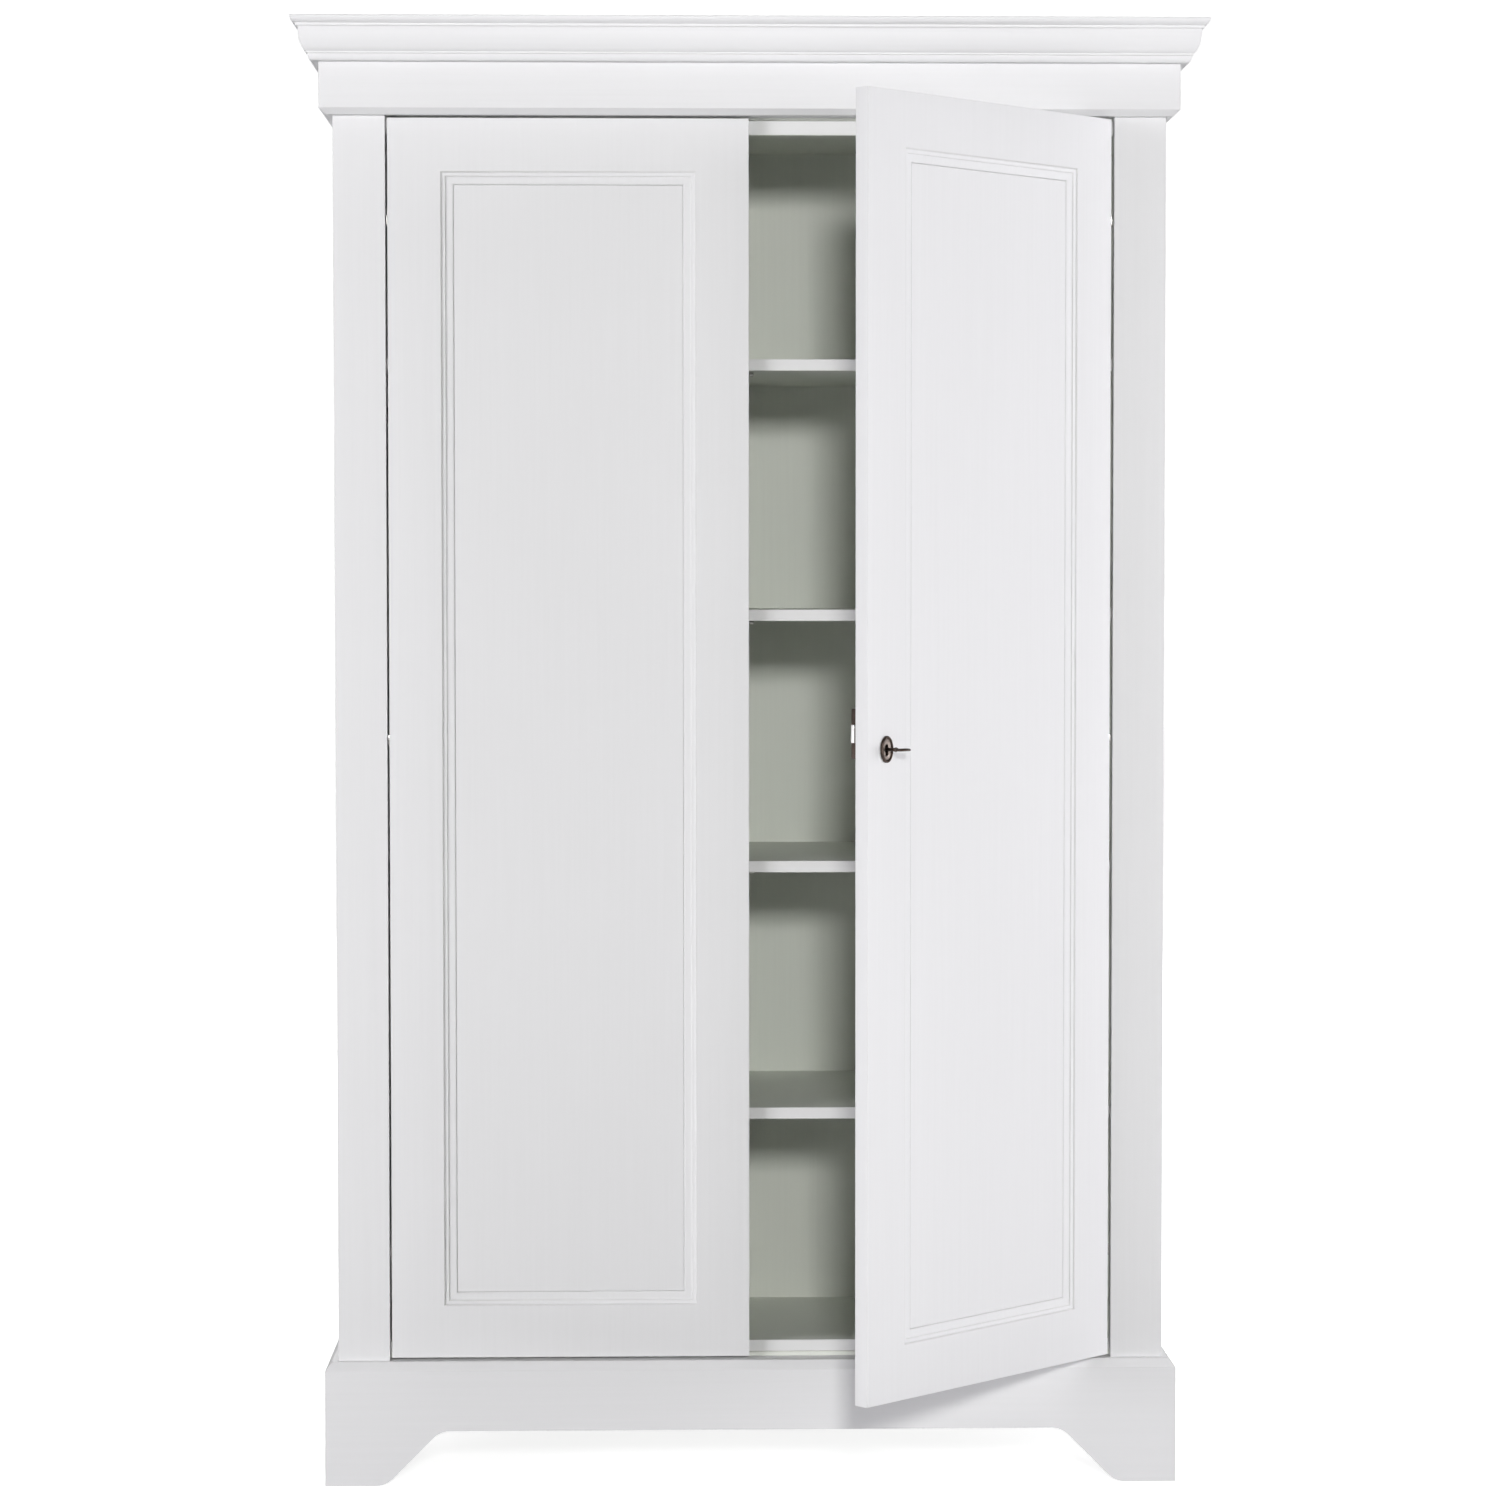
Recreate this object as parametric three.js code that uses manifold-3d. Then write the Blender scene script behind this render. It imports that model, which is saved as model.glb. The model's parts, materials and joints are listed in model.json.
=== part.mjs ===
// Two-door armoire in painted wood: a face-framed carcass with a bevelled frieze and plinth, an
// ogee crown, framed doors with mitred mouldings, shelves on the right, a hanging bay on the left,
// concealed hinges and a rim lock with its key. Millimetres, +Z up, the front faces -Y.
// The origin is on the floor, at the middle of the back plinth board's underside. Depths (d) are
// measured back from the front plane of the face frame and the closed doors.

import * as THREE from 'three';
import { mergeVertices } from 'three/addons/utils/BufferGeometryUtils.js';
import Module from 'manifold-3d';

const wasm = await Module();
wasm.setup();

// Fits and board thicknesses
const GAP = 0.3;
const BOARD = 18;
const BACK_BOARD = 5;
const FACE_T = 21.7;

// Carcass
const CARCASS_HALF_W = 572.9;
const CARCASS_DEPTH = 450;
const INNER_HALF_W = CARCASS_HALF_W - BOARD;
const SIDE_BOTTOM_Z = 100;
const FLOOR_TOP_Z = 177.3;
const CEILING_Z = 1887.5;
const CAP_Z = 1990;
const CAP_T = 12;
const INSIDE_FRONT_D = 22.5;
const INSIDE_BACK_D = 434.8;
const FRONT_Y = BOARD / 2 - CARCASS_DEPTH;

// Face frame and door opening
const OPENING_HALF_W = 501.3;
const OPENING_TOP_Z = 1891.2;
const LEDGE_Z = 171.6;

// Frieze and plinth boards, which stand proud of the carcass on three sides
const OVERHANG = 17.5;
const EDGE_BEVEL = 9;
const PLINTH_BEVEL_H = 11.5;
const FRIEZE_BEVEL_H = 8.3;
const FRIEZE_BOTTOM_Z = 1890.7;
const TOTAL_HEIGHT = 2020;
const FOOT_W = 83.5;
const ARCH_HEIGHT = 75.9;
const ARCH_FILLET = 33;

// Crown moulding: its section runs out from the frieze face
const CROWN_BOTTOM_Z = 1961.5;
const CROWN_REACH = 36.3;

// Doors
const DOOR_HINGE_X = 498.44;
const DOOR_W = 496.16;
const DOOR_BOTTOM_Z = 175.45;
const DOOR_TOP_Z = 1887.5;
const DOOR_FRAME_W = 73;
const MOULDING_W = 17.6;
const PANEL_QUIRK = 18;
const PANEL_FIELD_D = 6.5;
const PANEL_EDGE_D = 10;
const PANEL_BACK_D = 15;
const PIVOT_INSET = 0.04;
const PIVOT_D = -1.55;
const RIGHT_DOOR_OPEN_DEG = 44.3;

// Inside fittings
const PARTITION_RIGHT_X = -3;
const PARTITION_LEFT_X = PARTITION_RIGHT_X - BOARD;
const STOP_DEPTH = 27;
const STOP_BOTTOM_TOP_Z = 193.6;
const STOP_TOP_BOTTOM_Z = 1867.3;
const SHELF_T = 16;
const SHELF_MID_Z = [511.6, 856, 1205.4, 1551.5];
const HAT_SHELF_MID_Z = SHELF_MID_Z[3];
const RAIL_Z = 1490;
const RAIL_R = 12.5;
const RAIL_WALL = 1.2;
const BACK_JOINT_X = -12;
const KEEPER_NOTCH_D = 46;

// Concealed hinges
const HINGE_Z = [318, 1033, 1751];
const CUP_INSET = 22.5;
const CUP_R = 17.2;
const CUP_BORE_R = 17.5;
const CUP_DEPTH = 12;
const CUP_WALL = 1.5;
const CUP_FLANGE_R = 20.5;
const CUP_FLANGE_T = 1.2;
const HINGE_NAMES = ['bottom', 'middle', 'top'];
const PLATE_T = 2.5;
const PLATE_HALF_H = 25;
const PLATE_INSET = 3;
const ARM_T = 9.2;
const ARM_HALF_H = 8;
const ARM_PAST_OPENING = 30;
const ARM_INTO_CUP = 6;

// Rim lock, on the back of the right door's meeting stile
const CASE_INSET = 2.5;
const CASE_W = 46;
const CASE_T = 9.6;
const CASE_WALL = 1;
const CASE_Z = [1021.1, 1086.3];
const BOLT_Z = [1041.9, 1065.4];
const BOLT_D = [24.7, 29.9];
const BOLT_LENGTH = 30;
const BOLT_INSET = 0.2;
const BOLT_CLEARANCE = 0.6;
const KEEPER_INSET = 0.8;
const KEEPER_W = 18;
const KEEPER_T = 11.5;
const KEEPER_WALL = 2;
const KEEPER_RIM = 5;
const KEY_X = DOOR_HINGE_X - DOOR_W + 35.2;
const KEY_Z = 1033.4;
const KEY_R = 2.2;
const KEY_REACH = 40;
const KEY_SHAFT_END_D = 30.2;
const KEY_BOW_R = 10.5;
const KEY_BOW_HOLE_R = 6.6;
const KEY_BOW_T = 3.2;
const KEY_COLLAR_R = 3.1;
const KEY_COLLAR_T = 2.4;
const KEY_BIT_LENGTH = 7.6;
const KEY_BIT_T = 2.4;
const KEY_BIT_D = [25, 29.9];
const KEYHOLE_HALF_W = 2.9;
const KEYHOLE_UP = 6.5;
const KEYHOLE_DOWN = 8.5;
const OVAL_HALF_W = 11;
const OVAL_HALF_H = 17.6;
const OVAL_EDGE_T = 2;
const OVAL_DOME_T = 1.8;
const OVAL_BEVEL = 2.4;

// How far a cutter reaches past what it cuts, and joined shapes into each other
const PAST = 5;
const WELD = 0.2;

const COLOURS = {
  paint: { color: 0xe6e6e4, roughness: 0.42, metalness: 0 },
  inside: { color: 0xd2d5c9, roughness: 0.5, metalness: 0 },
  steel: { color: 0xc2c4c6, roughness: 0.3, metalness: 1 },
  bronze: { color: 0x4a3f38, roughness: 0.38, metalness: 0.9 },
  chrome: { color: 0xd6d8da, roughness: 0.12, metalness: 1 },
};

const armoire = new THREE.Group();
const fromFront = new THREE.Group();
fromFront.position.y = FRONT_Y;
armoire.add(fromFront);

// --- helpers ---------------------------------------------------------------------------------

function addMesh(parent, name, slot, geometry) {
  const mesh = new THREE.Mesh(geometry, new THREE.MeshStandardMaterial(COLOURS[slot]));
  mesh.name = name;
  parent.add(mesh);
  return mesh;
}

// A box between two corners, given as [low, high] along x, d and z.
function box(x, d, z) {
  const geometry = new THREE.BoxGeometry(x[1] - x[0], d[1] - d[0], z[1] - z[0]);
  return geometry.translate((x[0] + x[1]) / 2, (d[0] + d[1]) / 2, (z[0] + z[1]) / 2);
}

// The same range on the left (side -1) or the right (side 1) of the centre plane.
function mirrored(side, range) {
  return side > 0 ? range : [-range[1], -range[0]];
}

// The geometry with its faces turned out, whichever way its vertices were moved.
function facingOut(geometry) {
  const flat = geometry.index ? geometry.toNonIndexed() : geometry;
  const p = flat.attributes.position;
  const corner = (i) => new THREE.Vector3().fromBufferAttribute(p, i);
  let volume = 0;
  for (let i = 0; i < p.count; i += 3) {
    volume += corner(i).dot(corner(i + 1).cross(corner(i + 2)));
  }
  if (volume < 0) {
    for (let i = 0; i < p.count; i += 3) {
      const second = corner(i + 1);
      const third = corner(i + 2);
      p.setXYZ(i + 1, third.x, third.y, third.z);
      p.setXYZ(i + 2, second.x, second.y, second.z);
    }
  }
  flat.deleteAttribute('normal');
  flat.computeVertexNormals();
  return flat;
}

function toSolid(geometry) {
  const bare = facingOut(geometry.clone());
  bare.deleteAttribute('normal');
  bare.deleteAttribute('uv');
  const merged = mergeVertices(bare, 1e-4);
  const vertProperties = Float32Array.from(merged.attributes.position.array);
  const triVerts = Uint32Array.from(merged.index.array);
  return new wasm.Manifold(new wasm.Mesh({ numProp: 3, vertProperties, triVerts }));
}

function fromSolid(solid) {
  const mesh = solid.getMesh();
  const geometry = new THREE.BufferGeometry();
  geometry.setAttribute('position', new THREE.BufferAttribute(mesh.vertProperties, 3));
  geometry.setIndex(new THREE.BufferAttribute(mesh.triVerts, 1));
  return geometry.toNonIndexed();
}

function cut(geometry, ...cutters) {
  return fromSolid(cutters.reduce((solid, cutter) => solid.subtract(toSolid(cutter)), toSolid(geometry)));
}

function join(geometry, ...others) {
  return fromSolid(others.reduce((solid, other) => solid.add(toSolid(other)), toSolid(geometry)));
}

// Every vertex of the geometry moved by a function of its three coordinates.
function remap(geometry, place) {
  const p = geometry.attributes.position;
  for (let i = 0; i < p.count; i += 1) {
    const [x, y, z] = place(p.getX(i), p.getY(i), p.getZ(i));
    p.setXYZ(i, x, y, z);
  }
  return facingOut(geometry);
}

// An outline in x and z, extruded along the depth from d[0] to d[1].
function cutAlongDepth(shape, d) {
  const geometry = new THREE.ExtrudeGeometry(shape, { depth: 1, bevelEnabled: false, curveSegments: 8 });
  return remap(geometry, (x, z, t) => [x, d[0] + (d[1] - d[0]) * t, z]);
}

// An outline in d and z, extruded along the width from x[0] to x[1].
function cutAlongWidth(shape, x) {
  const geometry = new THREE.ExtrudeGeometry(shape, { depth: 1, bevelEnabled: false, curveSegments: 8 });
  return remap(geometry, (d, z, t) => [x[0] + (x[1] - x[0]) * t, d, z]);
}

// A section given as (reach out from the carcass, z), run across the front between two mitres.
function frontRun(section) {
  const geometry = new THREE.ExtrudeGeometry(section, { depth: 1, bevelEnabled: false, curveSegments: 5 });
  const half = (reach) => CARCASS_HALF_W + reach - GAP / 2;
  return remap(geometry, (reach, z, t) => [(2 * t - 1) * half(reach), -reach, z]);
}

// The same section run down one side, from the mitre back to the rear edge.
function sideRun(section, side) {
  const geometry = new THREE.ExtrudeGeometry(section, { depth: 1, bevelEnabled: false, curveSegments: 5 });
  return remap(geometry, (reach, z, t) => {
    const front = -reach + GAP / 2;
    return [side * (CARCASS_HALF_W + reach), front + (CARCASS_DEPTH - front) * t, z];
  });
}

function polygon(points) {
  return new THREE.Shape(points.map(([x, y]) => new THREE.Vector2(x, y)));
}

// --- carcass ---------------------------------------------------------------------------------

function addCarcass() {
  const inner = [-INNER_HALF_W + GAP, INNER_HALF_W - GAP];
  const deep = [INSIDE_FRONT_D - GAP, INSIDE_BACK_D];
  for (const [side, word] of [[-1, 'left'], [1, 'right']]) {
    const wall = box(mirrored(side, [INNER_HALF_W, CARCASS_HALF_W]), [FACE_T + GAP, CARCASS_DEPTH],
      [SIDE_BOTTOM_Z, CAP_Z - GAP]);
    addMesh(fromFront, `side_panel_${word}`, 'inside', wall);
    const stile = box(mirrored(side, [OPENING_HALF_W, CARCASS_HALF_W]), [0, FACE_T],
      [SIDE_BOTTOM_Z, CAP_Z - GAP]);
    addMesh(fromFront, `stile_${word}`, 'paint', stile);
    const backX = side < 0 ? [inner[0], BACK_JOINT_X - GAP] : [BACK_JOINT_X, inner[1]];
    const back = box(backX, [INSIDE_BACK_D + GAP, INSIDE_BACK_D + GAP + BACK_BOARD],
      [FLOOR_TOP_Z - BOARD, CAP_Z - GAP]);
    addMesh(fromFront, `back_panel_${word}`, 'inside', back);
  }
  const between = [-OPENING_HALF_W + GAP, OPENING_HALF_W - GAP];
  addMesh(fromFront, 'top_rail', 'paint', box(between, [0, FACE_T], [OPENING_TOP_Z, CAP_Z - GAP]));
  addMesh(fromFront, 'bottom_rail', 'paint', box(between, [0, FACE_T], [SIDE_BOTTOM_Z, LEDGE_Z]));
  addMesh(fromFront, 'top_panel', 'inside', box(inner, deep, [CEILING_Z, CEILING_Z + BOARD]));
  addMesh(fromFront, 'bottom_panel', 'inside', box(inner, deep, [FLOOR_TOP_Z - BOARD, FLOOR_TOP_Z]));
  const cap = box([-CARCASS_HALF_W, CARCASS_HALF_W], [0, CARCASS_DEPTH], [CAP_Z, CAP_Z + CAP_T]);
  addMesh(fromFront, 'cap_board', 'paint', cap);
  const stopD = [INSIDE_FRONT_D, INSIDE_FRONT_D + STOP_DEPTH];
  const stopX = [inner[0] + GAP, inner[1] - GAP];
  const lowStop = box(stopX, stopD, [FLOOR_TOP_Z + GAP, STOP_BOTTOM_TOP_Z]);
  addMesh(fromFront, 'door_stop_bottom', 'inside', lowStop);
  const highStop = box(stopX, stopD, [STOP_TOP_BOTTOM_Z, CEILING_Z - GAP]);
  addMesh(fromFront, 'door_stop_top', 'inside', highStop);
}

// The partition is notched round the two door stops and the keeper on the left door.
function addPartition() {
  const notchD = INSIDE_FRONT_D + STOP_DEPTH + GAP;
  const outline = polygon([
    [INSIDE_FRONT_D, STOP_BOTTOM_TOP_Z + GAP],
    [notchD, STOP_BOTTOM_TOP_Z + GAP],
    [notchD, FLOOR_TOP_Z + GAP],
    [INSIDE_BACK_D, FLOOR_TOP_Z + GAP],
    [INSIDE_BACK_D, CEILING_Z - GAP],
    [notchD, CEILING_Z - GAP],
    [notchD, STOP_TOP_BOTTOM_Z - GAP],
    [INSIDE_FRONT_D, STOP_TOP_BOTTOM_Z - GAP],
    [INSIDE_FRONT_D, CASE_Z[1]],
    [KEEPER_NOTCH_D, CASE_Z[1]],
    [KEEPER_NOTCH_D, CASE_Z[0]],
    [INSIDE_FRONT_D, CASE_Z[0]],
  ]);
  const geometry = cutAlongWidth(outline, [PARTITION_LEFT_X, PARTITION_RIGHT_X]);
  addMesh(fromFront, 'centre_partition', 'inside', geometry);
}

function addShelves() {
  const deep = [INSIDE_FRONT_D, INSIDE_BACK_D];
  const thick = (mid) => [mid - SHELF_T / 2, mid + SHELF_T / 2];
  const rightBay = [PARTITION_RIGHT_X + GAP, INNER_HALF_W - GAP];
  const leftBay = [-INNER_HALF_W + GAP, PARTITION_LEFT_X - GAP];
  SHELF_MID_Z.forEach((mid, i) => {
    addMesh(fromFront, `shelf_${i + 1}`, 'inside', box(rightBay, deep, thick(mid)));
  });
  addMesh(fromFront, 'hat_shelf', 'inside', box(leftBay, deep, thick(HAT_SHELF_MID_Z)));
  const ring = new THREE.Shape().absarc(0, 0, RAIL_R, 0, 2 * Math.PI);
  ring.holes.push(new THREE.Path().absarc(0, 0, RAIL_R - RAIL_WALL, 0, 2 * Math.PI));
  const length = leftBay[1] - leftBay[0] - 2 * GAP;
  const tube = new THREE.ExtrudeGeometry(ring, { depth: length, bevelEnabled: false, curveSegments: 10 });
  tube.rotateY(Math.PI / 2);
  tube.translate(leftBay[0] + GAP, (INSIDE_FRONT_D + INSIDE_BACK_D) / 2, RAIL_Z);
  addMesh(fromFront, 'hanging_rail', 'chrome', tube);
}

// --- frieze, crown and plinth ----------------------------------------------------------------

function friezeSection() {
  return polygon([
    [GAP, FRIEZE_BOTTOM_Z],
    [OVERHANG - EDGE_BEVEL, FRIEZE_BOTTOM_Z],
    [OVERHANG, FRIEZE_BOTTOM_Z + FRIEZE_BEVEL_H],
    [OVERHANG, TOTAL_HEIGHT],
    [GAP, TOTAL_HEIGHT],
  ]);
}

function plinthSection() {
  return polygon([
    [GAP, 0],
    [OVERHANG, 0],
    [OVERHANG, LEDGE_Z - PLINTH_BEVEL_H],
    [OVERHANG - EDGE_BEVEL, LEDGE_Z],
    [GAP, LEDGE_Z],
  ]);
}

// From the bottom: a flat underside, a quarter round, a fillet, an ogee, a second fillet and a
// sloping top fascia.
function crownSection() {
  const z = (height) => CROWN_BOTTOM_Z + height;
  const out = (reach) => OVERHANG + reach;
  const section = new THREE.Shape();
  section.moveTo(out(GAP), z(0));
  section.lineTo(out(9.5), z(0));
  section.quadraticCurveTo(out(13.6), z(1), out(13.8), z(9));
  section.lineTo(out(15.6), z(9.5));
  section.lineTo(out(15.8), z(12));
  section.bezierCurveTo(out(20), z(18), out(24.4), z(22), out(25.4), z(38));
  section.lineTo(out(25.6), z(43.5));
  section.lineTo(out(28.8), z(45));
  section.lineTo(out(29), z(48.5));
  section.quadraticCurveTo(out(34.6), z(50.5), out(CROWN_REACH), TOTAL_HEIGHT - 2.5);
  section.lineTo(out(CROWN_REACH), TOTAL_HEIGHT);
  section.lineTo(out(GAP), TOTAL_HEIGHT);
  return section;
}

// The space under a plinth board between its two feet: 45 degree flanks with rounded corners,
// from x = a to x = b on the floor line.
function archOutline(a, b) {
  const tangent = ARCH_FILLET * Math.tan(Math.PI / 8);
  const r = ARCH_FILLET;
  const below = -10;
  const shape = new THREE.Shape();
  shape.moveTo(a - tangent, below);
  shape.lineTo(a - tangent, 0);
  shape.absarc(a - tangent, r, r, -Math.PI / 2, -Math.PI / 4, false);
  shape.absarc(a + ARCH_HEIGHT + tangent, ARCH_HEIGHT - r, r, 0.75 * Math.PI, Math.PI / 2, true);
  shape.absarc(b - ARCH_HEIGHT - tangent, ARCH_HEIGHT - r, r, Math.PI / 2, Math.PI / 4, true);
  shape.absarc(b + tangent, r, r, -0.75 * Math.PI, -Math.PI / 2, false);
  shape.lineTo(b + tangent, below);
  return shape;
}

function addTrim() {
  const outerHalfW = CARCASS_HALF_W + OVERHANG;
  const throughD = [-OVERHANG - PAST, PAST];
  const frontArch = cutAlongDepth(archOutline(FOOT_W - outerHalfW, outerHalfW - FOOT_W), throughD);
  addMesh(fromFront, 'frieze_front', 'paint', frontRun(friezeSection()));
  addMesh(fromFront, 'crown_front', 'paint', frontRun(crownSection()));
  addMesh(fromFront, 'plinth_front', 'paint', cut(frontRun(plinthSection()), frontArch));
  for (const [side, word] of [[-1, 'left'], [1, 'right']]) {
    const throughX = mirrored(side, [CARCASS_HALF_W - PAST, outerHalfW + PAST]);
    const arch = cutAlongWidth(archOutline(FOOT_W - OVERHANG, CARCASS_DEPTH - FOOT_W), throughX);
    addMesh(fromFront, `frieze_${word}`, 'paint', sideRun(friezeSection(), side));
    addMesh(fromFront, `crown_${word}`, 'paint', sideRun(crownSection(), side));
    addMesh(fromFront, `plinth_${word}`, 'paint', cut(sideRun(plinthSection(), side), arch));
  }
  const between = [-INNER_HALF_W + GAP, INNER_HALF_W - GAP];
  const underFloor = FLOOR_TOP_Z - BOARD - GAP;
  const back = box(between, [CARCASS_DEPTH - BOARD, CARCASS_DEPTH], [0, underFloor]);
  addMesh(fromFront, 'plinth_back', 'inside', back);
  const bearer = box([PARTITION_LEFT_X, PARTITION_RIGHT_X],
    [FACE_T + GAP, CARCASS_DEPTH - BOARD - GAP], [ARCH_HEIGHT + 6, underFloor]);
  addMesh(fromFront, 'floor_bearer', 'inside', bearer);
}

// --- doors -----------------------------------------------------------------------------------

// A door's group turns about its hinge line; what is put in it is given as if the door were shut.
function doorGroup(side, openDeg) {
  const pivotX = side * (DOOR_HINGE_X - PIVOT_INSET);
  const hinge = new THREE.Group();
  hinge.position.set(pivotX, PIVOT_D, 0);
  hinge.rotation.z = side * THREE.MathUtils.degToRad(openDeg);
  const shut = new THREE.Group();
  shut.position.set(-pivotX, -PIVOT_D, 0);
  hinge.add(shut);
  fromFront.add(hinge);
  return shut;
}

// A range across the door, counted from its hinge edge.
function across(side, from, to) {
  return mirrored(side, [DOOR_HINGE_X - to, DOOR_HINGE_X - from]);
}

// A mitred rectangular ring: a lathe of four segments whose corners are moved out to a rectangle.
// The section's points are (distance in from the rectangle's edge, d).
function mitredRing(section, x, z) {
  const centreX = (x[0] + x[1]) / 2;
  const centreZ = (z[0] + z[1]) / 2;
  const halfW = (x[1] - x[0]) / 2;
  const halfH = (z[1] - z[0]) / 2;
  const radius = 100;
  const profile = section.map(([inset, d]) => new THREE.Vector2(radius - inset, d));
  profile.push(profile[0].clone());
  const geometry = new THREE.LatheGeometry(profile, 4, Math.PI / 4).toNonIndexed();
  return remap(geometry, (px, d, pz) => {
    const inset = radius - Math.hypot(px, pz);
    return [centreX + Math.sign(px) * (halfW - inset), d, centreZ + Math.sign(pz) * (halfH - inset)];
  });
}

// Two soft slopes with a fillet after each and a small ovolo, stepping down towards the panel.
const MOULDING_SECTION = [
  [GAP, 0.4], [4.2, 2.7], [5.6, 2.8], [9.6, 4.9], [13.4, 5], [15.5, 5.4], [17, 6.4], [MOULDING_W, 7.4],
  [MOULDING_W, PANEL_EDGE_D - GAP], [GAP, PANEL_EDGE_D - GAP],
];

function keyholeCutter(d) {
  const bore = new THREE.Shape();
  const top = KEY_Z + KEYHOLE_UP - KEYHOLE_HALF_W;
  const bottom = KEY_Z - KEYHOLE_DOWN + KEYHOLE_HALF_W;
  bore.absarc(KEY_X, top, KEYHOLE_HALF_W, 0, Math.PI, false);
  bore.absarc(KEY_X, bottom, KEYHOLE_HALF_W, Math.PI, 2 * Math.PI, false);
  return cutAlongDepth(bore, d);
}

function addHingeCup(parent, name, side, z) {
  const profile = [
    [0, 0], [CUP_R, 0], [CUP_R, CUP_DEPTH + GAP], [CUP_FLANGE_R, CUP_DEPTH + GAP],
    [CUP_FLANGE_R, CUP_DEPTH + GAP + CUP_FLANGE_T], [CUP_R - CUP_WALL, CUP_DEPTH + GAP + CUP_FLANGE_T],
    [CUP_R - CUP_WALL, CUP_WALL], [0, CUP_WALL],
  ].map(([r, d]) => new THREE.Vector2(r, d));
  const geometry = new THREE.LatheGeometry(profile, 28);
  geometry.translate(side * (DOOR_HINGE_X - CUP_INSET), FACE_T - CUP_DEPTH, z);
  addMesh(parent, name, 'steel', facingOut(geometry));
}

function addDoor(side, word, openDeg) {
  const shut = doorGroup(side, openDeg);
  const height = [DOOR_BOTTOM_Z, DOOR_TOP_Z];
  const thick = [0, FACE_T];
  const cupBores = HINGE_Z.map((z) => {
    const length = CUP_DEPTH + GAP + PAST;
    const bore = new THREE.CylinderGeometry(CUP_BORE_R, CUP_BORE_R, length, 28);
    return bore.translate(side * (DOOR_HINGE_X - CUP_INSET), FACE_T + PAST - length / 2, z);
  });
  const hingeStile = cut(box(across(side, 0, DOOR_FRAME_W), thick, height), ...cupBores);
  addMesh(shut, `${word}_door_hinge_stile`, 'paint', hingeStile);
  let meetingStile = box(across(side, DOOR_W - DOOR_FRAME_W, DOOR_W), thick, height);
  if (side > 0) {
    meetingStile = cut(meetingStile, keyholeCutter([-PAST, FACE_T + PAST]));
  }
  addMesh(shut, `${word}_door_meeting_stile`, 'paint', meetingStile);
  const railX = across(side, DOOR_FRAME_W + GAP, DOOR_W - DOOR_FRAME_W - GAP);
  const topRail = box(railX, thick, [DOOR_TOP_Z - DOOR_FRAME_W, DOOR_TOP_Z]);
  addMesh(shut, `${word}_door_top_rail`, 'paint', topRail);
  const bottomRail = box(railX, thick, [DOOR_BOTTOM_Z, DOOR_BOTTOM_Z + DOOR_FRAME_W]);
  addMesh(shut, `${word}_door_bottom_rail`, 'paint', bottomRail);
  const openX = across(side, DOOR_FRAME_W, DOOR_W - DOOR_FRAME_W);
  const openZ = [DOOR_BOTTOM_Z + DOOR_FRAME_W, DOOR_TOP_Z - DOOR_FRAME_W];
  addMesh(shut, `${word}_door_moulding`, 'paint', mitredRing(MOULDING_SECTION, openX, openZ));
  const inset = (range, by) => [range[0] + by, range[1] - by];
  const sheet = box(inset(openX, 2 * GAP), [PANEL_EDGE_D, PANEL_BACK_D], inset(openZ, 2 * GAP));
  const field = box(inset(openX, PANEL_QUIRK), [PANEL_FIELD_D, PANEL_BACK_D], inset(openZ, PANEL_QUIRK));
  addMesh(shut, `${word}_door_panel`, 'paint', join(sheet, field));
  HINGE_Z.forEach((z, i) => addHingeCup(shut, `${word}_hinge_cup_${HINGE_NAMES[i]}`, side, z));
  return shut;
}

// The fixed half of a hinge: a plate screwed to the back of the stile, and the arm on it.
function addHingeArms() {
  const plateX = [OPENING_HALF_W + PLATE_INSET + 1, INNER_HALF_W - PLATE_INSET];
  const armX = [DOOR_HINGE_X - CUP_INSET - ARM_INTO_CUP, OPENING_HALF_W + ARM_PAST_OPENING];
  const plateD = [FACE_T + GAP, FACE_T + GAP + PLATE_T];
  const armD = [plateD[1] - WELD, plateD[1] + ARM_T];
  for (const [side, word] of [[-1, 'left'], [1, 'right']]) {
    HINGE_Z.forEach((z, i) => {
      const plate = box(mirrored(side, plateX), plateD, [z - PLATE_HALF_H, z + PLATE_HALF_H]);
      const arm = box(mirrored(side, armX), armD, [z - ARM_HALF_H, z + ARM_HALF_H]);
      addMesh(fromFront, `${word}_hinge_arm_${HINGE_NAMES[i]}`, 'steel', join(plate, arm));
    });
  }
}

// --- lock ------------------------------------------------------------------------------------

// The case is a pressed tray, open towards the door, with a slot where the bolt slides out.
function addLockCase(shut) {
  const caseX = across(1, DOOR_W - CASE_INSET - CASE_W, DOOR_W - CASE_INSET);
  const backD = FACE_T + GAP + CASE_T;
  const shell = box(caseX, [FACE_T + GAP, backD], CASE_Z);
  const cavity = box([caseX[0] + CASE_WALL, caseX[1] - CASE_WALL], [FACE_T - PAST, backD - CASE_WALL],
    [CASE_Z[0] + CASE_WALL, CASE_Z[1] - CASE_WALL]);
  const slot = box([caseX[0] - PAST, caseX[0] + CASE_WALL + WELD],
    [BOLT_D[0] - BOLT_CLEARANCE, BOLT_D[1] + BOLT_CLEARANCE],
    [BOLT_Z[0] - BOLT_CLEARANCE, BOLT_Z[1] + BOLT_CLEARANCE]);
  addMesh(shut, 'lock_case', 'bronze', cut(shell, cavity, slot));
}

function addLockBolt(shut) {
  const boltX = across(1, DOOR_W - BOLT_INSET - BOLT_LENGTH, DOOR_W - BOLT_INSET);
  addMesh(shut, 'lock_bolt', 'steel', box(boltX, BOLT_D, BOLT_Z));
}

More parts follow.
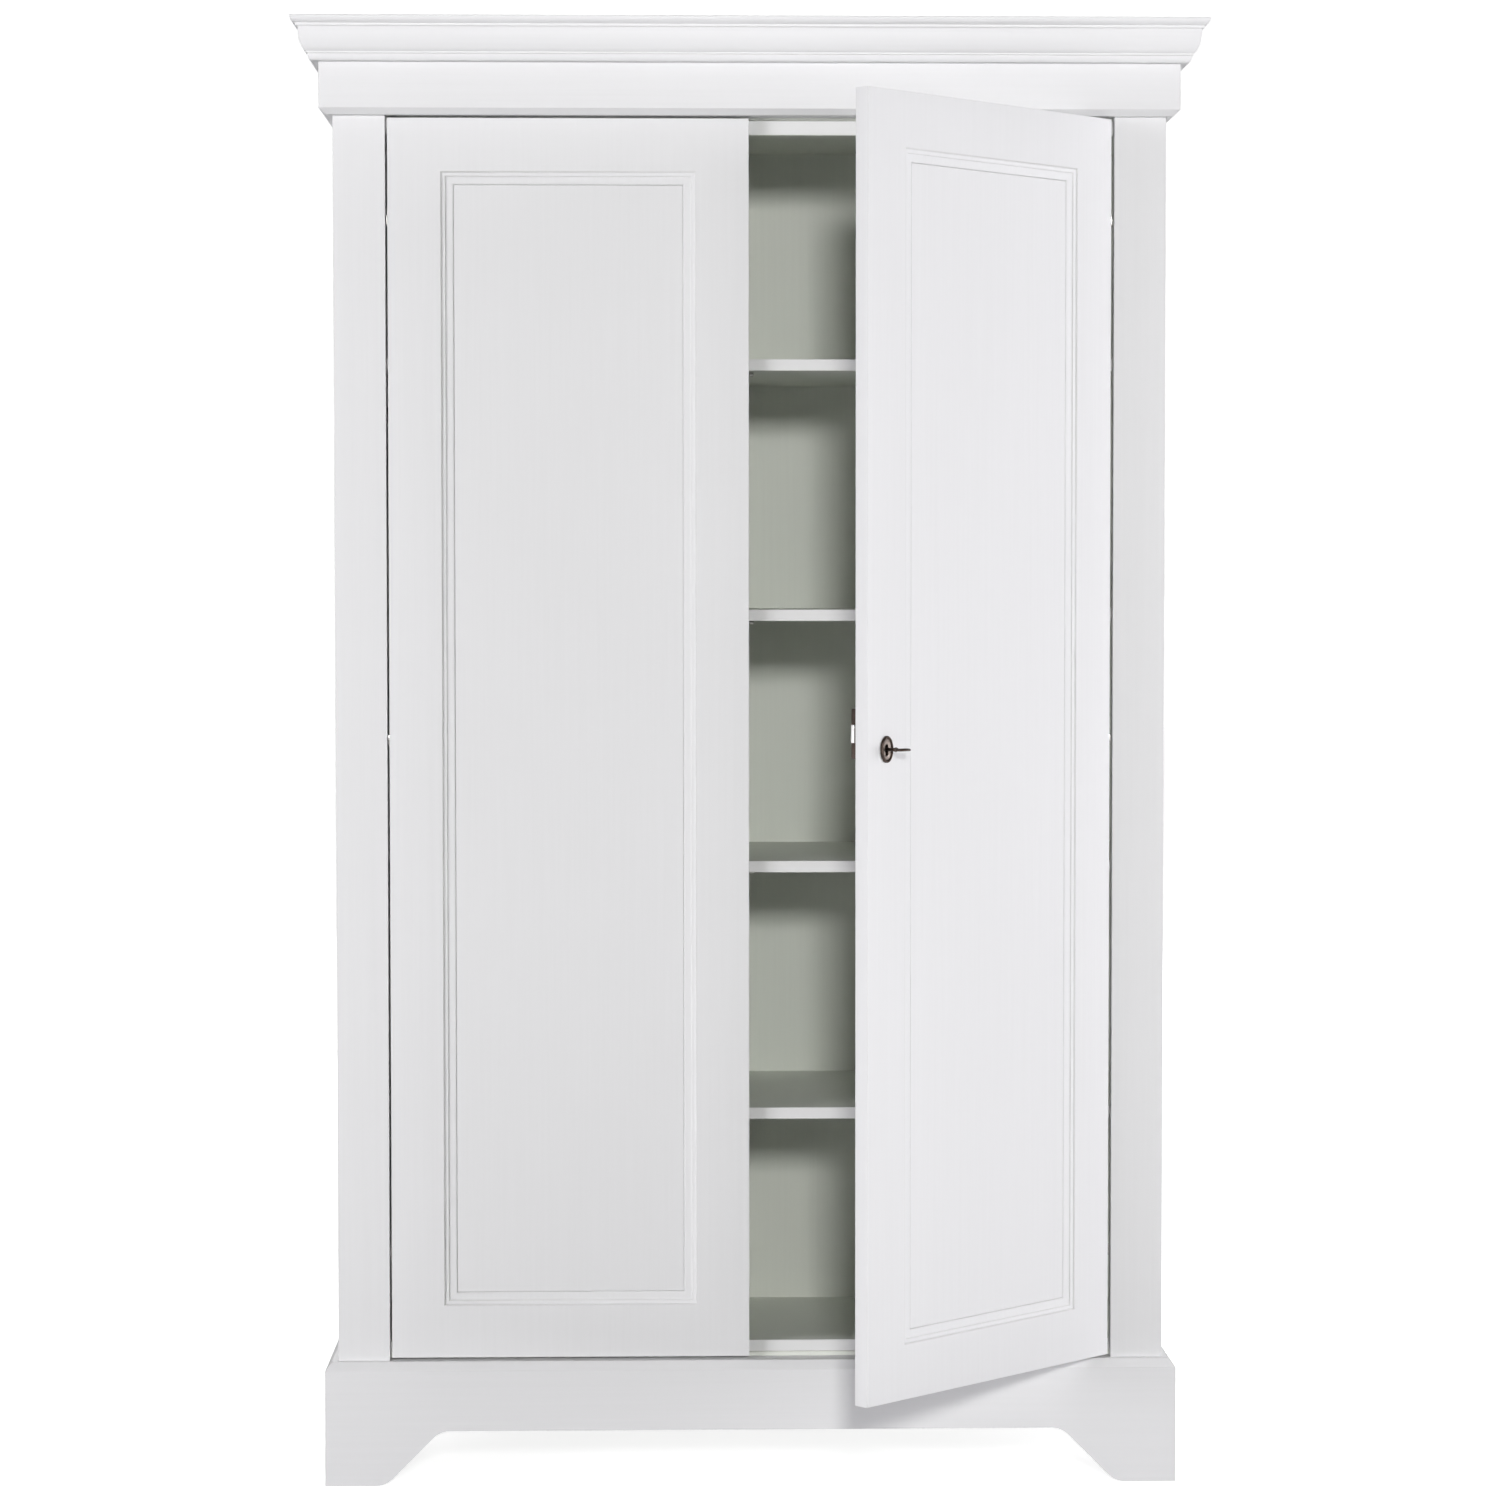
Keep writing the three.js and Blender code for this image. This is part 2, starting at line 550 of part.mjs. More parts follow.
// The keeper is a box staple on the left door's back, open towards the right door's bolt.
function addKeeper(shut) {
  const keeperX = across(-1, DOOR_W - KEEPER_INSET - KEEPER_W, DOOR_W - KEEPER_INSET);
  const keeperD = [FACE_T + GAP, FACE_T + GAP + KEEPER_T];
  const keeperZ = [BOLT_Z[0] - KEEPER_RIM, BOLT_Z[1] + KEEPER_RIM];
  const loose = 1.5 * BOLT_CLEARANCE;
  const mouth = box([keeperX[0] + KEEPER_WALL, keeperX[1] + PAST],
    [BOLT_D[0] - loose, BOLT_D[1] + loose], [BOLT_Z[0] - loose, BOLT_Z[1] + loose]);
  addMesh(shut, 'lock_keeper', 'bronze', cut(box(keeperX, keeperD, keeperZ), mouth));
}

// An oval plate flat on the door, domed by its bevel, with the keyhole through it.
function addEscutcheon(shut) {
  const plate = new THREE.Shape();
  plate.absellipse(0, 0, OVAL_HALF_W - OVAL_BEVEL, OVAL_HALF_H - OVAL_BEVEL, 0, 2 * Math.PI);
  const options = {
    depth: OVAL_EDGE_T,
    bevelThickness: OVAL_DOME_T,
    bevelSize: OVAL_BEVEL,
    bevelSegments: 3,
    curveSegments: 14,
  };
  const domed = new THREE.ExtrudeGeometry(plate, options);
  const turned = remap(domed, (x, z, t) => [KEY_X + x, -GAP - t, KEY_Z + z]);
  const reach = OVAL_HALF_H + PAST;
  const behind = box([KEY_X - reach, KEY_X + reach], [-GAP, FACE_T], [KEY_Z - reach, KEY_Z + reach]);
  addMesh(shut, 'escutcheon', 'bronze', cut(turned, behind, keyholeCutter([-2 * PAST, PAST])));
}

// The key stands a quarter turn from where it goes in, so its bow lies flat and its bit points
// towards the hinges.
function addKey(shut) {
  const bowCentreD = -KEY_REACH + KEY_BOW_R;
  const shaftStartD = bowCentreD + (KEY_BOW_R + KEY_BOW_HOLE_R) / 2;
  const shaft = new THREE.CylinderGeometry(KEY_R, KEY_R, KEY_SHAFT_END_D - shaftStartD, 16);
  shaft.translate(0, (shaftStartD + KEY_SHAFT_END_D) / 2, 0);
  const collar = new THREE.CylinderGeometry(KEY_COLLAR_R, KEY_COLLAR_R, KEY_COLLAR_T, 16);
  collar.translate(0, shaftStartD + 1.5 * KEY_COLLAR_T, 0);
  const ring = new THREE.Shape().absarc(0, 0, KEY_BOW_R, 0, 2 * Math.PI);
  ring.holes.push(new THREE.Path().absarc(0, 0, KEY_BOW_HOLE_R, 0, 2 * Math.PI));
  const options = { depth: KEY_BOW_T, bevelEnabled: false, curveSegments: 12 };
  const bow = new THREE.ExtrudeGeometry(ring, options).translate(0, bowCentreD, -KEY_BOW_T / 2);
  const bit = box([0, KEY_BIT_LENGTH], KEY_BIT_D, [-KEY_BIT_T / 2, KEY_BIT_T / 2]);
  const key = addMesh(shut, 'key', 'bronze', join(shaft, collar, bow, bit));
  key.position.set(KEY_X, 0, KEY_Z);
}

addCarcass();
addPartition();
addShelves();
addTrim();
addHingeArms();
const leftDoor = addDoor(-1, 'left', 0);
const rightDoor = addDoor(1, 'right', RIGHT_DOOR_OPEN_DEG);
addKeeper(leftDoor);
addLockCase(rightDoor);
addLockBolt(rightDoor);
addEscutcheon(rightDoor);
addKey(rightDoor);

export default armoire;
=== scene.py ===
"""Looks for a painted two-door armoire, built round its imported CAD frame.

The boards, frieze, plinth and door panels keep their CAD shape and get paint and, mostly, eased
edges. Crown, door frames and mouldings, hinges, lock, key, rail and the small steel parts are built
here, from the frame's boxes. Lengths are metres, and profiles are written in mm. The right door's
pieces are built where they are with the door shut, then carried to where it stands open.
"""

import json
import math

import bmesh
import bpy
from mathutils import Matrix, Vector


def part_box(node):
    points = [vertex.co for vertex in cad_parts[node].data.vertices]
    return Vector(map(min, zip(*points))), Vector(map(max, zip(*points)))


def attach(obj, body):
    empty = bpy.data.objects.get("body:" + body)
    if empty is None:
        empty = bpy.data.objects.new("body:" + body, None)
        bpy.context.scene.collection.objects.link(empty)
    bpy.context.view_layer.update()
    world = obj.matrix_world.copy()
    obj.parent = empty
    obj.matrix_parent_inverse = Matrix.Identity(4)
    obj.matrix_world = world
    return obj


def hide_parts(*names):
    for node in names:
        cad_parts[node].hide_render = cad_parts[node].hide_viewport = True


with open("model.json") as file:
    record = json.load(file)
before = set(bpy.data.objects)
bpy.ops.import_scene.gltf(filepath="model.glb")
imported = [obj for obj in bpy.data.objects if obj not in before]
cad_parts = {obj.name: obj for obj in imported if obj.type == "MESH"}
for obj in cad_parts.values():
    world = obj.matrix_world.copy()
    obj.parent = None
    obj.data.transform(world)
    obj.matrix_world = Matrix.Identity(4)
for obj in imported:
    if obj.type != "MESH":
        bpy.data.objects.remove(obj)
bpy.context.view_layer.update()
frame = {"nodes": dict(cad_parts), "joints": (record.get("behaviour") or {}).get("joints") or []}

MM = 0.001

# Camera: about 5.3 m in front of the doors, a little left of centre, chest high
CAMERA_PLACE = (-0.137, -5.763, 1.240)
CAMERA_TILT_DEG = (87.628, 0.029, -1.464)
CAMERA_LENS_MM = 92.49
CAMERA_SENSOR_MM = 36
CAMERA_CLIP = (0.1, 60)

# Door leaf, read from the shut left door; LEAF_X runs from the free edge to the hinge edge
MEETING_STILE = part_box("left_door_meeting_stile")
HINGE_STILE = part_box("left_door_hinge_stile")
LEAF_FRONT_Y = MEETING_STILE[0].y
LEAF_BACK_Y = MEETING_STILE[1].y
LEAF_T = LEAF_BACK_Y - LEAF_FRONT_Y
LEAF_Z = (MEETING_STILE[0].z, MEETING_STILE[1].z)
LEAF_X = (-MEETING_STILE[1].x, -HINGE_STILE[0].x)
FRAME_W = HINGE_STILE[1].x - HINGE_STILE[0].x
GAP = 0.3 * MM
SIDES = {"left": -1, "right": 1}
HEIGHTS = ("bottom", "middle", "top")
SHELVES = ("shelf_1", "shelf_2", "shelf_3", "shelf_4")


def joint(name):
    return next(j for j in frame["joints"] if j["name"] == name)


# The right door stands open at rest: OPENED carries what is built shut to where it stands
OPEN_ANGLE = -math.radians(joint("right_door_hinge")["range_deg"][0])
HINGE_POINT = Vector(joint("right_door_hinge")["pos_m"])
OPENED = (
    Matrix.Translation(HINGE_POINT)
    @ Matrix.Rotation(OPEN_ANGLE, 4, "Z")
    @ Matrix.Translation(-HINGE_POINT)
)
SHUT = OPENED.inverted()
PLACE = {"left": Matrix.Identity(4), "right": OPENED}


# --- camera ---------------------------------------------------------------------------------


def make_camera():
    data = bpy.data.cameras.new("camera")
    camera = bpy.data.objects.new("camera", data)
    bpy.context.scene.collection.objects.link(camera)
    camera.location = CAMERA_PLACE
    camera.rotation_euler = [math.radians(a) for a in CAMERA_TILT_DEG]
    data.lens = CAMERA_LENS_MM
    data.sensor_width = CAMERA_SENSOR_MM
    data.clip_start, data.clip_end = CAMERA_CLIP
    bpy.context.scene.camera = camera


make_camera()


# --- materials ------------------------------------------------------------------------------


class Paintbox:
    """A material's node tree, with short calls for the nodes used here."""

    def __init__(self, name):
        self.material = bpy.data.materials.new(name)
        self.material.use_nodes = True
        self.tree = self.material.node_tree
        self.shader = self.tree.nodes["Principled BSDF"]
        self.place = self.add("ShaderNodeTexCoord").outputs["Object"]

    def add(self, kind, **settings):
        node = self.tree.nodes.new(kind)
        for key, value in settings.items():
            setattr(node, key, value)
        return node

    def link(self, source, target):
        self.tree.links.new(source, target)

    def stretched(self, scale):
        """The place on the object, scaled along each axis."""
        node = self.add("ShaderNodeMapping")
        node.inputs["Scale"].default_value = scale
        self.link(self.place, node.inputs["Vector"])
        return node.outputs["Vector"]

    def noise(self, vector, scale, detail=3.0, roughness=0.55):
        node = self.add("ShaderNodeTexNoise")
        node.inputs["Scale"].default_value = scale
        node.inputs["Detail"].default_value = detail
        node.inputs["Roughness"].default_value = roughness
        self.link(vector, node.inputs["Vector"])
        return node.outputs["Fac"]

    def spread(self, value, source, target):
        """The value taken from one range to another, and kept inside it."""
        node = self.add("ShaderNodeMapRange")
        node.inputs["From Min"].default_value, node.inputs["From Max"].default_value = source
        node.inputs["To Min"].default_value, node.inputs["To Max"].default_value = target
        self.link(value, node.inputs["Value"])
        return node.outputs["Result"]

    def maths(self, operation, a, b):
        node = self.add("ShaderNodeMath", operation=operation)
        for socket, value in zip(node.inputs, (a, b)):
            if isinstance(value, (int, float)):
                socket.default_value = value
            else:
                self.link(value, socket)
        return node.outputs["Value"]

    def mix(self, factor, a, b):
        """Colour a at factor 0, colour b at factor 1."""
        node = self.add("ShaderNodeMix", data_type="RGBA")
        self.link(factor, node.inputs["Factor"])
        for name, value in (("A_Color", a), ("B_Color", b)):
            socket = next(s for s in node.inputs if s.identifier == name)
            if isinstance(value, tuple):
                socket.default_value = (*value, 1)
            else:
                self.link(value, socket)
        return next(s for s in node.outputs if s.identifier == "Result_Color")

    def edges(self, radius):
        """1 within the radius of an edge, 0 on flat faces."""
        rounded = self.add("ShaderNodeBevel", samples=4)
        rounded.inputs["Radius"].default_value = radius
        real = self.add("ShaderNodeNewGeometry").outputs["Normal"]
        dot = self.add("ShaderNodeVectorMath", operation="DOT_PRODUCT")
        self.link(rounded.outputs["Normal"], dot.inputs[0])
        self.link(real, dot.inputs[1])
        return self.spread(dot.outputs["Value"], (0.995, 0.9), (0.0, 1.0))

    def bump(self, height, distance, strength):
        node = self.add("ShaderNodeBump")
        node.inputs["Distance"].default_value = distance
        node.inputs["Strength"].default_value = strength
        self.link(height, node.inputs["Height"])
        self.link(node.outputs["Normal"], self.shader.inputs["Normal"])


# Most of a noise texture's values lie in this span
NOISE_SPAN = (0.3, 0.7)
# How fast the brush marks change along X, Y and Z: slowly along the grain
GRAIN_UPRIGHT = (230, 230, 4)
GRAIN_ACROSS = (4, 230, 230)
GRAIN_ALONG = (230, 4, 230)
PAINT_ROUGHNESS = 0.5
PAINT_SPECULAR = 0.3
PAINT_RUB = 1.6 * MM
BRUSH_DEPTH = 0.18 * MM
FINER = 3.1
CLOUD_SCALE = 2.3


def paint(name, colour, shade, worn, grain, outside=None):
    """Brushed paint over wood: streaks along the grain, soft clouding, rubbed edges.

    outside = (axis, reach, colour, shade) gives another colour beyond the reach on that axis.
    """
    box = Paintbox(name)
    streak = box.noise(box.stretched(grain), 1.0, detail=4.0)
    fine = box.noise(box.stretched(tuple(FINER * s for s in grain)), 1.0, detail=2.0)
    cloud = box.noise(box.place, CLOUD_SCALE, detail=2.0)
    tone = box.maths("ADD", box.maths("MULTIPLY", streak, 0.55), box.maths("MULTIPLY", cloud, 0.45))
    tone = box.spread(tone, NOISE_SPAN, (0.0, 1.0))
    base = box.mix(tone, shade, colour)
    if outside:
        axis, reach, outside_colour, outside_shade = outside
        split = box.add("ShaderNodeSeparateXYZ")
        box.link(box.place, split.inputs["Vector"])
        beyond = box.maths("GREATER_THAN", box.maths("ABSOLUTE", split.outputs[axis], 0), reach)
        base = box.mix(beyond, base, box.mix(tone, outside_shade, outside_colour))
    rub = box.maths("MULTIPLY", box.edges(PAINT_RUB), box.spread(cloud, (0.35, 0.7), (0.15, 0.9)))
    box.link(box.mix(rub, base, worn), box.shader.inputs["Base Color"])
    uneven = box.spread(streak, NOISE_SPAN, (PAINT_ROUGHNESS - 0.05, PAINT_ROUGHNESS + 0.06))
    rough = box.maths("ADD", uneven, box.maths("MULTIPLY", rub, 0.12))
    box.link(rough, box.shader.inputs["Roughness"])
    height = box.maths("ADD", box.maths("MULTIPLY", streak, 0.65), box.maths("MULTIPLY", fine, 0.35))
    box.bump(height, BRUSH_DEPTH, 0.5)
    box.shader.inputs["Specular IOR Level"].default_value = PAINT_SPECULAR
    return box.material


METAL_RUB = 0.7 * MM
BLOTCH_SCALE = 140


def metal(name, colour, dark, bright, rough, grain=(90, 90, 900), metallic=1.0, dents_mm=0.15):
    """Plated or patinated metal: fine drawn lines, blotches of tarnish, rubbed edges."""
    box = Paintbox(name)
    lines = box.noise(box.stretched(grain), 1.0, detail=3.0)
    blotch = box.noise(box.place, BLOTCH_SCALE, detail=4.0, roughness=0.65)
    base = box.mix(box.spread(blotch, (0.35, 0.68), (0.0, 1.0)), dark, colour)
    rub = box.maths("MULTIPLY", box.edges(METAL_RUB), box.spread(blotch, (0.3, 0.6), (0.35, 1.0)))
    box.link(box.mix(rub, base, bright), box.shader.inputs["Base Color"])
    uneven = box.maths("ADD", box.spread(lines, NOISE_SPAN, (rough - 0.06, rough + 0.08)),
                       box.spread(blotch, NOISE_SPAN, (0.05, -0.03)))
    box.link(uneven, box.shader.inputs["Roughness"])
    box.shader.inputs["Metallic"].default_value = metallic
    height = box.maths("ADD", box.maths("MULTIPLY", lines, 0.4), box.maths("MULTIPLY", blotch, 0.6))
    box.bump(height, dents_mm * MM, 0.35)
    return box.material


# Each paint's colour, its darker streaks, and what shows where it is rubbed
WHITE = (0.80, 0.80, 0.805)
WHITE_SHADE = (0.775, 0.775, 0.778)
WHITE_WORN = (0.70, 0.695, 0.675)
EDGE_WHITE = (0.745, 0.745, 0.74)
EDGE_WHITE_SHADE = (0.715, 0.715, 0.708)
# Painted shade tint: a greenish grey for everything inside, standing in for the green cast its shade shows,
# with darker streaks and rubbed edges
GREEN_SHADE_TINT = (0.725, 0.745, 0.685)
GREEN_SHADE_TINT_DARK = (0.695, 0.715, 0.655)
GREEN_SHADE_TINT_WORN = (0.62, 0.62, 0.56)
# The greenish inside colour is painted shade tint, the green cast of the shaded bays; it meets the white in
# the middle of a side panel, and just behind a shelf's front
SIDE_SPLIT = (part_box("side_panel_right")[0].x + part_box("side_panel_right")[1].x) / 2
SHELF_SPLIT = abs(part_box("shelf_1")[0].y) - 1.2 * MM

PAINT = {
    "upright": paint("white_upright", WHITE, WHITE_SHADE, WHITE_WORN, GRAIN_UPRIGHT),
    "across": paint("white_across", WHITE, WHITE_SHADE, WHITE_WORN, GRAIN_ACROSS),
    "along": paint("white_along", WHITE, WHITE_SHADE, WHITE_WORN, GRAIN_ALONG),
    # The inside, side and shelf paints carry the painted shade tint inside; side and shelf keep the white
    # on the outer half and on the front edge
    "inside": paint("shade_tint_upright", GREEN_SHADE_TINT, GREEN_SHADE_TINT_DARK, GREEN_SHADE_TINT_WORN, GRAIN_UPRIGHT),
    "inside_across": paint("shade_tint_across", GREEN_SHADE_TINT, GREEN_SHADE_TINT_DARK, GREEN_SHADE_TINT_WORN, GRAIN_ACROSS),
    "side": paint("side_white_and_shade_tint", GREEN_SHADE_TINT, GREEN_SHADE_TINT_DARK, WHITE_WORN, GRAIN_UPRIGHT,
                  outside=("X", SIDE_SPLIT, WHITE, WHITE_SHADE)),
    "shelf": paint("shelf_white_front_shade_tint", GREEN_SHADE_TINT, GREEN_SHADE_TINT_DARK, WHITE_WORN, GRAIN_ACROSS,
                   outside=("Y", SHELF_SPLIT, EDGE_WHITE, EDGE_WHITE_SHADE)),
}
# Name, colour, tarnish, rubbed edges, roughness
STEEL = metal("nickel_plate", (0.50, 0.49, 0.475), (0.36, 0.35, 0.34), (0.64, 0.63, 0.61), 0.33)
BOLT_STEEL = metal("bright_steel", (0.88, 0.87, 0.86), (0.78, 0.77, 0.76), (0.94, 0.94, 0.94), 0.42,
                   metallic=0.6, dents_mm=0.06)
CHROME = metal("polished_chrome", (0.74, 0.75, 0.76), (0.66, 0.67, 0.68), (0.85, 0.85, 0.86), 0.1,
               grain=(900, 60, 60), dents_mm=0.03)
LACQUER = metal("bronze_lacquer", (0.085, 0.060, 0.047), (0.050, 0.037, 0.030), (0.24, 0.17, 0.12),
                0.34, metallic=0.55)
BRONZE = metal("aged_bronze", (0.075, 0.054, 0.044), (0.036, 0.027, 0.023), (0.30, 0.22, 0.17),
               0.32, metallic=0.85)
TAUPE_BRONZE = metal("rubbed_bronze", (0.20, 0.168, 0.148), (0.12, 0.10, 0.088), (0.30, 0.25, 0.22),
                     0.42, metallic=0.75)


# --- mesh building --------------------------------------------------------------------------


def place_piece(name, bm, materials, body, replaces=(), move=None, smooth_deg=32):
    """Turns a bmesh into a piece that rides on a body and stands for CAD nodes."""
    bmesh.ops.recalc_face_normals(bm, faces=bm.faces)
    mesh = bpy.data.meshes.new(name)
    bm.to_mesh(mesh)
    bm.free()
    if move is not None:
        mesh.transform(move)
    mesh.polygons.foreach_set("use_smooth", [True] * len(mesh.polygons))
    mesh.set_sharp_from_angle(angle=math.radians(smooth_deg))
    for material in materials:
        mesh.materials.append(material)
    piece = bpy.data.objects.new(name, mesh)
    bpy.context.scene.collection.objects.link(piece)
    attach(piece, body)
    if replaces:
        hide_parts(*replaces)


def mm_points(points):
    """Pairs given in mm, in metres."""
    return [(a * MM, b * MM) for a, b in points]


def loops_to_faces(bm, rings, closed_run=False, material=0):
    """Faces between rings of the same number of vertices."""
    count = len(rings[0])
    last = len(rings) if closed_run else len(rings) - 1
    for k in range(last):
        a, b = rings[k], rings[(k + 1) % len(rings)]
        for i in range(count):
            j = (i + 1) % count
            face = bm.faces.new((a[i], a[j], b[j], b[i]))
            face.material_index = material


def mitred_ring(bm, section, x, z, front_y):
    """A closed section of (inset, depth) points run round a rectangle, mitred at its corners."""
    corners = ((x[0], z[0], 1, 1), (x[1], z[0], -1, 1), (x[1], z[1], -1, -1), (x[0], z[1], 1, -1))
    rings = [
        [bm.verts.new((cx + sx * inset, front_y + depth, cz + sz * inset)) for inset, depth in section]
        for cx, cz, sx, sz in corners
    ]
    loops_to_faces(bm, rings, closed_run=True)


def run_between(bm, start, end):
    """A closed run between two matching rings of points, capped at both ends."""
    rings = [[bm.verts.new(p) for p in start], [bm.verts.new(p) for p in end]]
    loops_to_faces(bm, rings)
    for ring in rings:
        bm.faces.new(ring)


def turned(bm, profile, centre, axis, segments):
    """A profile of (radius, height along the axis) points turned round the axis."""
    turn = Vector((0, 0, 1)).rotation_difference(Vector(axis)).to_matrix()
    rings = []
    for radius, height in profile:
        if radius == 0:
            rings.append([bm.verts.new(Vector(centre) + turn @ Vector((0, 0, height)))])
            continue
        ring = []
        for i in range(segments):
            a = 2 * math.pi * i / segments
            local = Vector((radius * math.cos(a), radius * math.sin(a), height))
            ring.append(bm.verts.new(Vector(centre) + turn @ local))
        rings.append(ring)
    for a, b in zip(rings, rings[1:]):
        for i in range(segments):
            j = (i + 1) % segments
            corners = [a[i % len(a)], a[j % len(a)], b[j % len(b)], b[i % len(b)]]
            unique = list(dict.fromkeys(corners))
            if len(unique) > 2:
                bm.faces.new(unique)


def soft_box(bm, low, high, radius, segments=3):
    """A box with rounded edges."""
    size = Vector(high) - Vector(low)
    centre = (Vector(high) + Vector(low)) / 2
    place = Matrix.Translation(centre) @ Matrix.Diagonal((*size, 1))
    made = bmesh.ops.create_cube(bm, size=1, matrix=place)
    edges = list({e for v in made["verts"] for e in v.link_edges})
    bmesh.ops.bevel(bm, geom=edges, offset=radius, segments=segments, affect="EDGES", profile=0.5)


def arc(centre, radius, start_deg, end_deg, steps):
    """Points on an ellipse arc; radius is a pair."""
    points = []
    for k in range(steps + 1):
        a = math.radians(start_deg + (end_deg - start_deg) * k / steps)
        points.append((centre[0] + radius[0] * math.cos(a), centre[1] + radius[1] * math.sin(a)))
    return points


def screw_head(bm, centre, axis, radius, material=0):
    """A domed screw head with a cross recess, standing on a face."""
    turn = Vector((0, 0, 1)).rotation_difference(Vector(axis)).to_matrix()
    segments = 32
    recess = 0.5 * radius

    def cross(a):
        """Radius of the recess's outline in a direction."""
        return recess * (0.32 + 0.68 * abs(math.cos(2 * a)) ** 3)

    # (radius in a direction, height): foot, rim, shoulder, recess's lip, recess's floor
    levels = [
        (lambda a: radius, 0.0), (lambda a: radius, 0.18 * radius),
        (lambda a: 0.86 * radius, 0.36 * radius), (cross, 0.46 * radius), (cross, 0.08 * radius),
    ]
    rings = []
    for reach, height in levels:
        ring = []
        for i in range(segments):
            a = 2 * math.pi * i / segments
            local = Vector((reach(a) * math.cos(a), reach(a) * math.sin(a), height))
            ring.append(bm.verts.new(Vector(centre) + turn @ local))
        rings.append(ring)
    loops_to_faces(bm, rings, material=material)
    for ring in (rings[0], rings[-1]):
        bm.faces.new(ring).material_index = material


# --- boards ---------------------------------------------------------------------------------

# Nodes, their paint, and how far their edges are eased in mm; 0 leaves them sharp
BOARDS = (
    (("stile_left", "stile_right"), "upright", 0.6),
    (("top_rail", "bottom_rail", "cap_board"), "across", 0),
    (("frieze_front", "plinth_front"), "across", 0.5),
    (("frieze_left", "frieze_right", "plinth_left", "plinth_right"), "along", 0.5),
    (("side_panel_left", "side_panel_right"), "side", 0.6),
    (("back_panel_left", "back_panel_right"), "inside", 0),
    (("centre_partition",), "inside", 0.7),
    (("top_panel", "bottom_panel", "plinth_back", "floor_bearer"), "inside_across", 0.9),
    (("door_stop_bottom", "door_stop_top", "hat_shelf", *SHELVES), "shelf", 0.9),
    (("left_door_panel", "right_door_panel"), "upright", 0.5),
)


WELD_REACH = 0.02 * MM
EASE_STEPS = 2
EASE_ABOVE_DEG = 25


def dress(node, material, ease):
    """Gives a CAD board its paint and, where asked, eased edges."""
    piece = frame["nodes"][node]
    piece.data.materials.clear()
    piece.data.materials.append(material)
    if ease:
        weld = piece.modifiers.new("weld", "WELD")
        weld.merge_threshold = WELD_REACH
        bevel = piece.modifiers.new("ease", "BEVEL")
        bevel.width = ease
        bevel.segments = EASE_STEPS
        bevel.limit_method = "ANGLE"
        bevel.angle_limit = math.radians(EASE_ABOVE_DEG)


def dress_boards():
    for nodes, colour, ease in BOARDS:
        for node in nodes:
            dress(node, PAINT[colour], ease * MM)


# --- crown ----------------------------------------------------------------------------------


def crown_section(base_z, top_z):
    """(reach beyond the frieze, z), from the flat underside up to the sloping fascia."""
    height = (top_z - base_z) / MM
    points = [(0.3, 0), (9.0, 0)]
    points += arc((9.0, 9.0), (4.8, 9.0), -90, 0, 8)
    points += [(15.4, 9.4), (15.8, 9.9), (15.9, 12.0)]
    for k in range(1, 15):
        t = k / 14
        points.append((15.9 + 9.6 * (1 - (1 - t) ** 2.1), 12 + 26 * t ** 1.25))
    points += [(25.7, 43.3), (26.3, 44.2), (28.4, 44.8), (29.0, 45.4), (29.1, 48.2)]
    for angle in range(15, 91, 15):
        points.append((29.1 + 7.1 * math.sin(math.radians(angle)) ** 0.8, 48.2 + 7.6 * (angle / 90)))
    points += [(36.3, height - 0.5), (35.9, height), (0.3, height)]
    return [(reach * MM, base_z + z * MM) for reach, z in points]


CROWN_SEAM = 0.1 * MM


def make_crown():
    low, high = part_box("crown_front")
    frieze_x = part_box("frieze_front")[1].x
    frieze_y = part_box("frieze_front")[0].y
    rear_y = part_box("crown_left")[1].y
    section = crown_section(low.z, high.z)
    bm = bmesh.new()
    run_between(bm, [(-frieze_x - r + CROWN_SEAM, frieze_y - r, z) for r, z in section],
                [(frieze_x + r - CROWN_SEAM, frieze_y - r, z) for r, z in section])
    place_piece("crown_moulding_front", bm, [PAINT["across"]], "carcass", ["crown_front"])
    for word, side in SIDES.items():
        bm = bmesh.new()
        run_between(bm, [(side * (frieze_x + r), frieze_y - r + CROWN_SEAM, z) for r, z in section],
                    [(side * (frieze_x + r), rear_y, z) for r, z in section])
        place_piece(f"crown_moulding_{word}", bm, [PAINT["along"]], "carcass",
                    [f"crown_{word}"])


# --- cutting --------------------------------------------------------------------------------


def cutter(bm):
    """A passing object of the bmesh, for subtract to use up."""
    mesh = bpy.data.meshes.new("cutter")
    bmesh.ops.recalc_face_normals(bm, faces=bm.faces)
    bm.to_mesh(mesh)
    bm.free()
    made = bpy.data.objects.new("cutter", mesh)
    bpy.context.scene.collection.objects.link(made)
    return made


def box_cutter(x, y, z):
    bm = bmesh.new()
    middle = Vector([(r[0] + r[1]) / 2 for r in (x, y, z)])
    size = Matrix.Diagonal((*[r[1] - r[0] for r in (x, y, z)], 1))
    bmesh.ops.create_cube(bm, size=1, matrix=Matrix.Translation(middle) @ size)
    return cutter(bm)


def widened(span, by):
    return (span[0] - by, span[1] + by)


def subtract(bm, cutters):
    """The bmesh with the cutter objects taken out of it."""
    body = cutter(bm)
    for tool in cutters:
        boolean = body.modifiers.new("cut", "BOOLEAN")
        boolean.operation = "DIFFERENCE"
        boolean.object = tool
        boolean.solver = "EXACT"
    bpy.context.view_layer.update()
    graph = bpy.context.evaluated_depsgraph_get()
    result = bmesh.new()
    result.from_mesh(body.evaluated_get(graph).to_mesh())
    for made in [body, *cutters]:
        bpy.data.objects.remove(made)
    return result


# --- doors ----------------------------------------------------------------------------------

